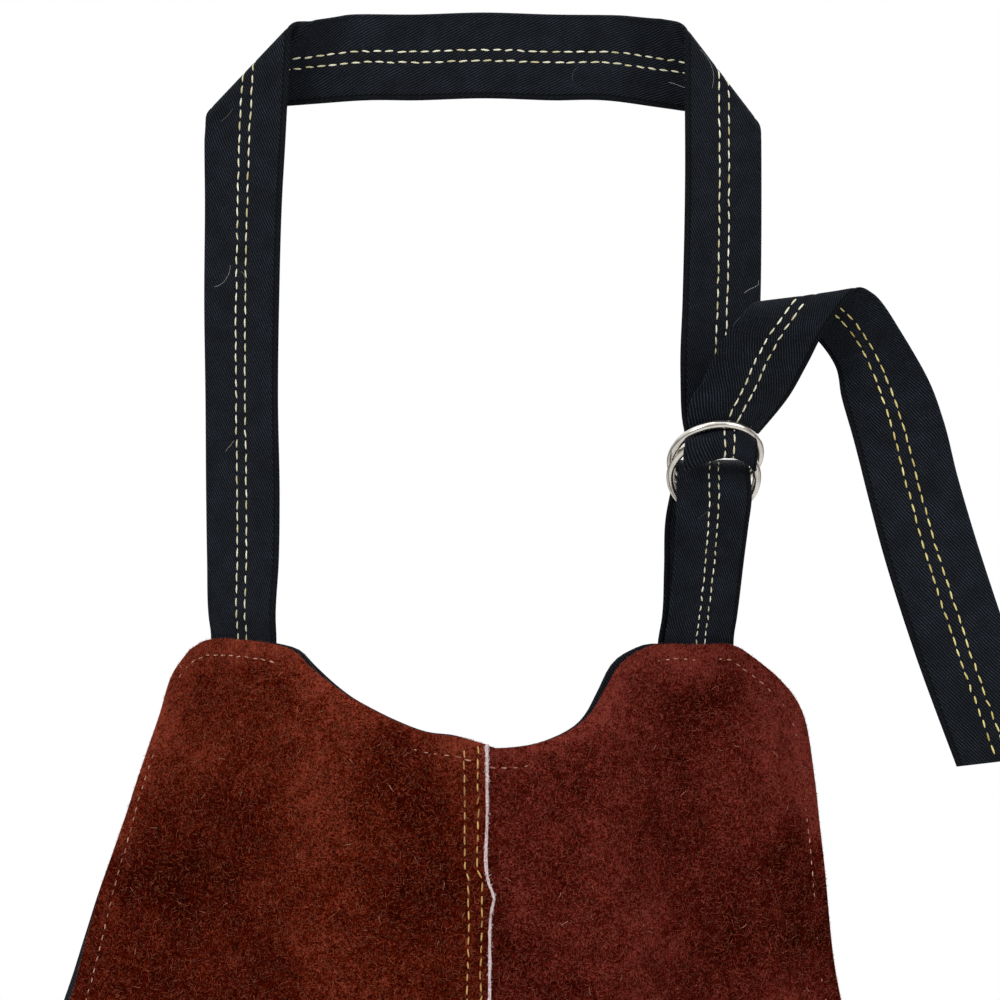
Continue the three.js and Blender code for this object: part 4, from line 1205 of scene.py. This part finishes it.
def lining_places(curves):
    """Places of the lining: both panels' side by side, the outer ones moved outwards by their margins."""
    u, v = np.meshgrid(np.linspace(0, 1, LINING_COLUMNS), np.linspace(0, 1, LINING_ROWS) ** ROW_CROWDING)
    left = fill_edges(curves["left_top"], curves["left_hem"], curves["left_side"], curves["seam"], u, v)
    right = fill_edges(curves["right_top"], curves["right_hem"], curves["under"], curves["right_side"], u, v)
    lapped = int(np.ceil(SEAM_LAP / (right[-1, -1, 0] - right[-1, 0, 0]) * LINING_COLUMNS)) + 1
    joined = np.concatenate([left[:, :-1], right[:, lapped:]], axis=1)
    first, last = left.shape[1] - 1 - JOINT_COLUMNS, left.shape[1] - 2 + JOINT_COLUMNS
    share = np.linspace(0, 1, last - first + 1)[None, :, None]
    joined[:, first:last + 1] = joined[:, first:first + 1] * (1 - share) + joined[:, last:last + 1] * share
    moved = joined.copy()
    for line, side in ((np.s_[0, :], 1), (np.s_[-1, :], -1), (np.s_[1:-1, 0], -1), (np.s_[1:-1, -1], 1)):
        run = unit(np.gradient(joined[line][:, :2], axis=0))
        margin = joined[line][:, 2:]
        moved[line][:, :2] += side * margin * np.stack([-run[:, 1], run[:, 0]], -1)
    return moved


def build_lining(curves, material):
    places = lining_places(curves)
    x, z = places[..., 0], places[..., 1]
    behind = lining_behind(x, z)
    front = on_drape(x, z, behind - LINING_THICKNESS / 2)
    back = on_drape(x, z, behind + LINING_THICKNESS / 2)
    points, faces = wall(front, back)
    flat = np.concatenate([places[..., :2].reshape(-1, 2)] * 2)
    piece = make_piece("lining", points, faces, [material], face_uv=[flat[face] for face in faces])
    shade(piece, SHEET_SMOOTH)
    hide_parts("lining")
    return piece


def measured(places):
    """A line of places with the distance along it."""
    return places, np.concatenate([[0], np.cumsum(np.linalg.norm(np.diff(places[:, :2], axis=0), axis=1))])


def sheet_row(line, behind, facing=1):
    """A row of stitches over flat places: places and normals on the sheet's front, or its back."""
    layer = behind(line[:, 0], line[:, 1])
    surface = on_drape(line[:, 0], line[:, 1], layer)
    step = on_drape(line[:, 0], line[:, 1], layer - facing)
    return surface, unit(step - surface)


def inset_line(curve, distances, depths, inward):
    """A line inside an edge, at a depth that changes with the distance along the edge."""
    places, along = curve
    here = np.arange(0, along[-1], LINE_STEP)
    line = np.stack([np.interp(here, along, column) for column in places[:, :2].T], -1)
    run = unit(np.gradient(line, axis=0))
    depth = np.interp(here, distances, depths)[:, None]
    return line + inward * depth * np.stack([-run[:, 1], run[:, 0]], -1)


def edge_row_lines(curves, side):
    """The stitch rows inside a panel's outer edges: up the side and along the top, and along the hem."""
    side_edge, top_edge = curves[side + "_side"], curves[side + "_top"]
    top = top_edge[0] if side == "left" else top_edge[0][::-1]
    outline = measured(np.vstack([side_edge[0][::-1], top[1:]]))
    row = EDGE_ROW[side]
    upper = inset_line(outline, row["past"] + side_edge[1][-1], row["depth"], -1 if side == "left" else 1)
    hem = curves[side + "_hem"]
    return upper, inset_line(hem, [0], [HEM_ROW], 1)


def right_layer(x, z):
    return np.full(np.shape(x), -SUEDE_THICKNESS / 2 + ROW_DIP)


def left_layer(x, z):
    return left_panel_behind(x) - SUEDE_THICKNESS / 2 + ROW_DIP


def back_layer(x, z):
    return lining_behind(x, z) + LINING_THICKNESS / 2


def nap_cover(place):
    """How much of an edge stitch is lost in the nap: some stretches of the neckline hide theirs."""
    if place[0] < LEFT_SIDE_FROM:
        return float(np.interp(-place[2], -LEFT_COVER["z"], LEFT_COVER["share"]))
    if place[0] > RIGHT_SIDE_FROM:
        return float(np.interp(-place[2], -RIGHT_COVER["z"], RIGHT_COVER["share"]))
    return float(np.interp(place[0], NAP_COVER["x"], NAP_COVER["share"]))


# Fibres.

FIBRE_STATIONS = 3
FIBRE_TAPER = 0.6
# Each kind of fibre: spread of its bend, limits of its length, width and lift, and its tone's mean and spread.
NAP_FIBRE = {"bend": 0.45, "length": (1.0, 2.8), "width": (0.09, 0.17), "lift": (0.1, 0.7), "tone": (0.38, 0.24)}
STRAY_FIBRE = {"bend": 0.45, "length": (2.0, 4.5), "width": (0.1, 0.16), "lift": (0.2, 0.7), "tone": (0.4, 0.3)}
FUZZ_FIBRE = {"bend": 0.7, "length": (0.5, 1.5), "width": (0.08, 0.16), "lift": (0, 0.2), "tone": (0.5, 0.25)}
RAW_FIBRE = {"bend": 0.5, "length": (0.5, 1.4), "width": (0.1, 0.2), "lift": (0.05, 0.3), "tone": (0.65, 0.25)}
# Near an edge the nap is at most this long, and longer by a share of the distance.
NAP_LEAST = 0.7
NAP_GROWTH = 0.8
FUZZ_STEP = 0.002
FUZZ_ROOT = 0.35
FUZZ_SPREAD = 0.75
RAW_SPREAD = 0.45
RAW_SCATTER = 0.4
RAW_LIFT = 0.05
SPARSE_FROM = -540.0
SPARSE_TO = -700.0
SPARSE_SHARE = 0.3


def pick_places(area, count, random):
    """Places strewn over a grid, even over the bib and sparser below it."""
    cells = abs(np.cross(area[1:, :-1, :2] - area[:-1, :-1, :2], area[:-1, 1:, :2] - area[:-1, :-1, :2]))
    sparse = smooth((SPARSE_FROM - area[:-1, :-1, 1]) / (SPARSE_FROM - SPARSE_TO))
    weight = (cells * (1 - (1 - SPARSE_SHARE) * sparse)).ravel()
    row, column = np.unravel_index(random.choice(weight.size, count, p=weight / weight.sum()), cells.shape)
    a, b = random.random((2, count, 1))
    near = area[row, column, :2] * (1 - b) + area[row, column + 1, :2] * b
    far = area[row + 1, column, :2] * (1 - b) + area[row + 1, column + 1, :2] * b
    return near * (1 - a) + far * a


def lay_fibres(name, base, heading, bend, length, width, lift, tone, layer, material):
    """Thin curved ribbons laid on the sheet, from flat places and headings; layer is how far behind."""
    count = len(base)
    points = []
    line = base
    for station in range(FIBRE_STATIONS):
        t = station / (FIBRE_STATIONS - 1)
        way = heading + bend * t
        ahead = np.stack([np.cos(way), np.sin(way)], -1)
        if station:
            line = line + ahead * (length / (FIBRE_STATIONS - 1))[:, None]
        side = np.stack([-ahead[:, 1], ahead[:, 0]], -1) * (width * (1 - FIBRE_TAPER * t) / 2)[:, None]
        height = lift * math.sin(math.pi * (0.1 + 0.75 * t))
        for sign in (-1, 1):
            edge = line + sign * side
            points.append(on_drape(edge[:, 0], edge[:, 1], layer(edge[:, 0]) - height))
    each = 2 * FIBRE_STATIONS
    points = np.stack(points, 1).reshape(-1, 3)
    start = np.arange(count) * each
    faces = np.concatenate([np.stack([start + k, start + k + 1, start + k + 3, start + k + 2], -1)
                            for k in range(0, each - 2, 2)])
    piece = make_piece(name, points, faces, [material], tone=np.repeat(np.clip(tone, 0, 1), each))
    return piece


def draw_sizes(random, fibre, count):
    return [random.uniform(*fibre[size], count) for size in ("length", "width", "lift")]


def build_nap(name, hide, count, fibre, material, seed):
    """Loose fibres of the nap that lie this way and that, short near an edge."""
    area, edges, slot, behind = hide
    random = np.random.default_rng(seed)
    base = pick_places(area, count, random)
    length, width, lift = draw_sizes(random, fibre, count)
    to_edge = np.minimum.reduce([distance_to(base, edge) for edge in edges])
    length = np.minimum(length, NAP_LEAST + NAP_GROWTH * to_edge)
    heading = random.uniform(0, 2 * math.pi, count)
    bend = random.normal(0, fibre["bend"], count)
    tone = random.normal(*fibre["tone"], count)
    return lay_fibres(name, base, heading, bend, length, width, lift, tone,
                      lambda x: behind(x) - SUEDE_THICKNESS / 2, material)


def build_fuzz(name, hide, edges, material, seed):
    """Short fibres that stand out of the cut edges. Edges come with the side that lies outside."""
    slot, behind = hide[2:]
    random = np.random.default_rng(seed)
    base, heading = [], []
    lengths = np.array([curve[1][-1] for curve, outside in edges])
    for (curve, outside), share in zip(edges, lengths / lengths.sum()):
        part = random.random(int(FUZZ_COUNT * share))
        places = at_share(curve, part)[:, :2]
        ahead, back = np.minimum(part + FUZZ_STEP, 1), np.maximum(part - FUZZ_STEP, 0)
        run = at_share(curve, ahead) - at_share(curve, back)
        facing = np.arctan2(run[:, 1], run[:, 0]) + outside * math.pi / 2
        base.append(places - FUZZ_ROOT * np.stack([np.cos(facing), np.sin(facing)], -1))
        heading.append(facing)
    base, heading = np.concatenate(base), np.concatenate(heading)
    count = len(base)
    depth = random.uniform(-SUEDE_THICKNESS / 2, SUEDE_THICKNESS / 4, count)
    heading = heading + random.normal(0, FUZZ_SPREAD, count)
    bend = random.normal(0, FUZZ_FIBRE["bend"], count)
    length, width, lift = draw_sizes(random, FUZZ_FIBRE, count)
    tone = random.normal(*FUZZ_FIBRE["tone"], count)
    return lay_fibres(name, base, heading, bend, length, width, lift, tone,
                      lambda x: behind(x) + depth, material)


def build_raw_edge_fibres(name, count, material, seed):
    """Pale fibres that fray from the slanted raw edge of the left panel."""
    random = np.random.default_rng(seed)
    first, last = SEAM_EDGE["z"][0] - 1, SEAM_EDGE["z"][-1] + 2
    z = first + (last - first) * random.random(count) ** RAW_CROWDING
    places = edge_curve(SEAM_EDGE)[0]
    across = random.normal(0, RAW_SCATTER, count)
    base = np.stack([np.interp(-z, -places[:, 1], places[:, 0]) + across, z], -1)
    depth = SUEDE_THICKNESS * (np.clip(across / RAW_WIDTH + 0.5, 0, 0.9) - 0.5) - RAW_LIFT
    heading = random.choice([-1, 1], count) * math.pi / 2 + random.normal(0, RAW_SPREAD, count)
    bend = random.normal(0, RAW_FIBRE["bend"], count)
    length, width, lift = draw_sizes(random, RAW_FIBRE, count)
    tone = random.normal(*RAW_FIBRE["tone"], count)
    return lay_fibres(name, base, heading, bend, length, width, lift, tone,
                      lambda x: left_panel_behind(x) + depth, material)


# The rings.

JOINT_ANGLE = math.radians(-105)
JOINT_HALF_ANGLE = math.radians(1.2)
JOINT_DEPTH = 0.35


def build_ring(name, ring, material):
    """A wire ring, bent round from one length of wire, with a hairline where its two ends meet."""
    bpy.ops.object.select_all(action="DESELECT")
    lean, roll, turn = (math.radians(ring[name]) for name in ("lean", "roll", "turn"))
    bpy.ops.mesh.primitive_torus_add(
        location=(0, 0, 0), major_segments=160, minor_segments=28,
        major_radius=ring["radius"] * MM, minor_radius=WIRE_RADIUS * MM,
    )
    piece = bpy.context.object
    piece.name = name
    bpy.ops.object.mode_set(mode="EDIT")
    bpy.ops.mesh.select_mode(type="VERT")
    bpy.ops.mesh.select_all(action="DESELECT")
    bpy.ops.object.mode_set(mode="OBJECT")
    for vertex in piece.data.vertices:
        gap = math.atan2(vertex.co.y, vertex.co.x) - JOINT_ANGLE
        gap = (gap + math.pi) % (2 * math.pi) - math.pi
        vertex.select = abs(gap) < JOINT_HALF_ANGLE
    bpy.ops.object.mode_set(mode="EDIT")
    bpy.ops.transform.shrink_fatten(value=-JOINT_DEPTH * MM)
    bpy.ops.object.mode_set(mode="OBJECT")
    piece.rotation_euler = (math.pi / 2 + lean, -roll, turn)
    piece.location = Vector(ring["place"]) * MM
    bpy.ops.object.transform_apply(location=True, rotation=True, scale=True)
    bpy.ops.object.shade_smooth()
    piece.data.materials.append(material)
    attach(piece, "root")
    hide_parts(name)
    return piece


# The studio.

FLOOR_HEIGHT = -1.26
FLOOR_SIZE = (9.0, 8.4, 1.0)
FLOOR_SHIFT = -1.0
# The lights: place, target and size in metres, and power in watts.
LIGHTS = {
    "key": ((-1.2, -1.9, 0.9), (0, 0, -0.35), 1.2, 27),
    "fill": ((1.7, -1.6, 0.3), (0, 0, -0.35), 1.2, 15),
    "top": ((0.2, -0.4, 1.7), (0, 0, -0.4), 1.4, 12),
    "back": ((0.9, 2.3, 0.9), (0, 0, -0.5), 1.6, 34),
}


def make_floor():
    bpy.ops.object.select_all(action="DESELECT")
    bpy.ops.mesh.primitive_plane_add(size=1, location=(0, 0, 0))
    floor = bpy.context.object
    floor.name = "floor"
    bpy.ops.object.mode_set(mode="EDIT")
    bpy.ops.mesh.select_all(action="SELECT")
    bpy.ops.transform.resize(value=FLOOR_SIZE)
    bpy.ops.transform.translate(value=(0, FLOOR_SHIFT, FLOOR_HEIGHT))
    bpy.ops.object.mode_set(mode="OBJECT")
    floor.data.materials.append(floor_material("pale_floor"))


def make_light(name, place, target, size, power):
    data = bpy.data.lights.new(name, "AREA")
    data.size = size
    data.energy = power
    light = bpy.data.objects.new(name, data)
    light.location = Vector(place)
    light.rotation_euler = (Vector(target) - Vector(place)).to_track_quat("-Z", "Y").to_euler()
    bpy.context.scene.collection.objects.link(light)


def make_world():
    """A white surround: softer from above than from below, plain white where it is seen directly."""
    world = bpy.data.worlds.new("studio")
    world.use_nodes = True
    bpy.context.scene.world = world
    tree = world.node_tree
    place = tree.nodes.new("ShaderNodeTexCoord").outputs["Generated"]
    height = add(tree, "ShaderNodeSeparateXYZ", None, Vector=place).outputs["Z"]
    strength = remap(tree, height, -0.4, 0.8, 0.16, 0.62)
    rays = tree.nodes.new("ShaderNodeLightPath").outputs
    mirrored = calc(tree, "SUBTRACT", remap(tree, height, -0.15, 0.75, 0.12, 1.5), strength)
    strength = calc(tree, "MULTIPLY_ADD", mirrored, rays["Is Glossy Ray"], strength)
    seen = rays["Is Camera Ray"]
    strength = calc(tree, "ADD", calc(tree, "MULTIPLY", strength, calc(tree, "SUBTRACT", 1.0, seen)), seen)
    background = tree.nodes["Background"]
    background.inputs["Color"].default_value = (1, 1, 1, 1)
    tree.links.new(strength, background.inputs["Strength"])


make_camera()
bpy.context.scene.view_settings.view_transform = "Standard"

nap = make_nap_group()
twill = make_twill_group()
strand = make_strand_group()
suede_left = suede_material("suede_left", nap, colour(27, 3, 1), colour(71, 13, 3), colour(138, 60, 42))
suede_right = suede_material("suede_right", nap, colour(27, 3, 1), colour(70, 14, 7), colour(133, 57, 48))
raw_edge = raw_edge_material("raw_edge", colour(150, 100, 98), colour(250, 230, 232))
strap_twill = twill_material("strap_twill", twill, colour(1, 1, 2), colour(50, 57, 70), 1.25, 27, EDGE_FOLD)
lining_twill = twill_material("lining_twill", twill, colour(12, 13, 17), colour(66, 70, 80), 1.4, 45, NO_FOLD)
cream_thread = thread_material("cream_thread", strand, colour(184, 174, 118), colour(250, 248, 226))
yellow_thread = thread_material("yellow_thread", strand, colour(170, 152, 70), colour(238, 226, 150))
gold_thread = thread_material("gold_thread", strand, colour(160, 108, 42), colour(232, 186, 104))
pink_thread = thread_material("pink_thread", strand, colour(150, 94, 72), colour(226, 180, 152))
nap_fibre_left = fibre_material("nap_fibre_left", strand, colour(29, 4, 1), colour(168, 91, 67))
nap_fibre_right = fibre_material("nap_fibre_right", strand, colour(29, 4, 2), colour(168, 88, 70))
stray_fibre = fibre_material("stray_fibre", strand, colour(150, 84, 66), colour(228, 178, 156))
raw_fibre = fibre_material("raw_fibre", strand, colour(176, 130, 130), colour(252, 238, 240))
lint_fibre = fibre_material("lint_fibre", strand, colour(84, 84, 86), colour(190, 188, 182))
nickel = nickel_material("nickel")

curves = {
    "left_top": edge_curve(LEFT_TOP_EDGE), "left_hem": edge_curve(LEFT_HEM),
    "left_side": edge_curve(LEFT_SIDE_EDGE), "seam": edge_curve(SEAM_EDGE),
    "right_top": edge_curve(RIGHT_TOP_EDGE), "right_hem": edge_curve(RIGHT_HEM),
    "right_side": edge_curve(RIGHT_SIDE_EDGE),
}
under_edge = {"x": SEAM_EDGE["x"] - SEAM_LAP, "z": SEAM_EDGE["z"].copy(), "margin": SEAM_EDGE["margin"]}
under_edge["z"][0] = RIGHT_TOP_EDGE["z"][0]
curves["under"] = edge_curve(under_edge)

row_lines = {side: edge_row_lines(curves, side) for side in ("left", "right")}
left_panel, left_places = build_left_panel(curves, row_lines["left"], suede_left, raw_edge)
right_panel, right_places = build_right_panel(curves, row_lines["right"], suede_right)
lining = build_lining(curves, lining_twill)

routes = {
    "neck_strap": neck_strap_route(),
    "ring_tab": ring_tab_route(),
    "waist_tie_left": waist_tie_route(-1),
    "waist_tie_right": waist_tie_route(1),
}
surfaces = {name: StrapSurface(route) for name, route in routes.items()}
straps = {name: surface.build(name, strap_twill) for name, surface in surfaces.items()}

strap_stitches = {}
for number, (name, surface) in enumerate(surfaces.items()):
    thread = TAB_THREAD if name == "ring_tab" else STRAP_THREAD
    parts = [(name, 0, len(surface.lines), cream_thread)]
    if name == "neck_strap":
        middle = surface.lines[:, len(STRAP_COLUMNS) // 2]
        bend = int(np.argmin(np.linalg.norm(middle - TAIL_BEND, axis=1)))
        parts = [(name, 0, bend, cream_thread), ("strap_tail", bend, len(surface.lines), yellow_thread)]
    strap_stitches[name] = []
    for part, first, last, finish in parts:
        stitches = Stitches(SEED + number)
        for row in STITCH_ROWS:
            for side in (1, -1):
                places, normals = surface.stitch_path(row, side)
                stitches.sew((places[first:last], normals[first:last]), thread, start=2, end=1)
        strap_stitches[name].append(stitches.build(part + "_stitches", finish, "twill"))
    hairs = max(LINT_LEAST, int(surface.length() * LINT_PER_MILLIMETRE))
    strap_stitches[name].append(surface.lint(name + "_lint", hairs, SEED + 20 + number, lint_fibre))

edge_rows = Stitches(SEED + 11)
lining_rows = Stitches(SEED + 13)
for side, layer in (("left", left_layer), ("right", right_layer)):
    line, hem = row_lines[side]
    edge_rows.sew(sheet_row(line, layer), EDGE_THREAD, ROW_START, end=2, sink=EDGE_SINK, cover=nap_cover)
    lining_rows.sew(sheet_row(line, back_layer, -1), HEM_THREAD, ROW_START, end=2)
    edge_rows.sew(sheet_row(hem, layer), HEM_THREAD, ROW_START, end=4, sink=HEM_SINK)
    lining_rows.sew(sheet_row(hem, back_layer, -1), HEM_THREAD, ROW_START, end=4)
edge_stitches = edge_rows.build("edge_stitches", pink_thread, "suede_left")
lining_stitches = lining_rows.build("lining_stitches", pink_thread, "lining")
seam_rows = Stitches(SEED + 12)
for row in SEAM_ROWS:
    heights = np.arange(SEAM_ROW_LINE["z"][0], SEAM_ROW_LINE["z"][-1], -LINE_STEP)
    line = np.stack([seam_row_x(heights, row), heights], -1)
    seam_rows.sew(sheet_row(line, left_layer), SEAM_THREAD, sink=SEAM_SINK)
seam_stitches = seam_rows.build("seam_stitches", gold_thread, "suede_left")

left_edges = [curves[name] for name in ("left_top", "left_side", "left_hem", "seam")]
right_edges = [curves[name] for name in ("right_top", "right_side", "right_hem", "under")]
left_hide = (left_places, left_edges, "suede_left", left_panel_behind)
right_hide = (right_places, right_edges, "suede_right", np.zeros_like)
for number, (name, hide, finish) in enumerate((
        ("left_nap_1", left_hide, nap_fibre_left), ("left_nap_2", left_hide, nap_fibre_left),
        ("right_nap_1", right_hide, nap_fibre_right), ("right_nap_2", right_hide, nap_fibre_right))):
    build_nap(name, hide, NAP_COUNT, NAP_FIBRE, finish, SEED + 30 + number)
for number, (name, hide) in enumerate((("left_strays", left_hide), ("right_strays", right_hide))):
    build_nap(name, hide, STRAY_COUNT, STRAY_FIBRE, stray_fibre, SEED + 40 + number)
left_outer = [(curves["left_top"], 1), (curves["left_side"], -1), (curves["left_hem"], -1)]
right_outer = [(curves["right_top"], 1), (curves["right_side"], 1), (curves["right_hem"], -1)]
build_fuzz("left_fuzz", left_hide, left_outer, nap_fibre_left, SEED + 42)
build_fuzz("right_fuzz", right_hide, right_outer, nap_fibre_right, SEED + 43)
build_raw_edge_fibres("raw_edge_fibres", RAW_FIBRE_COUNT, raw_fibre, SEED + 44)

build_ring("front_ring", FRONT_RING, nickel)
build_ring("rear_ring", REAR_RING, nickel)

for name, held_by in (("neck_strap", ["front_ring"]), ("ring_tab", ["right_panel"]),
                      ("waist_tie_left", ["left_panel"]), ("waist_tie_right", ["right_panel"])):
    flat = (2 * STRAP_HALF * MM, surfaces[name].length() * MM)

make_floor()
for name, setting in LIGHTS.items():
    make_light(name, *setting)
make_world()
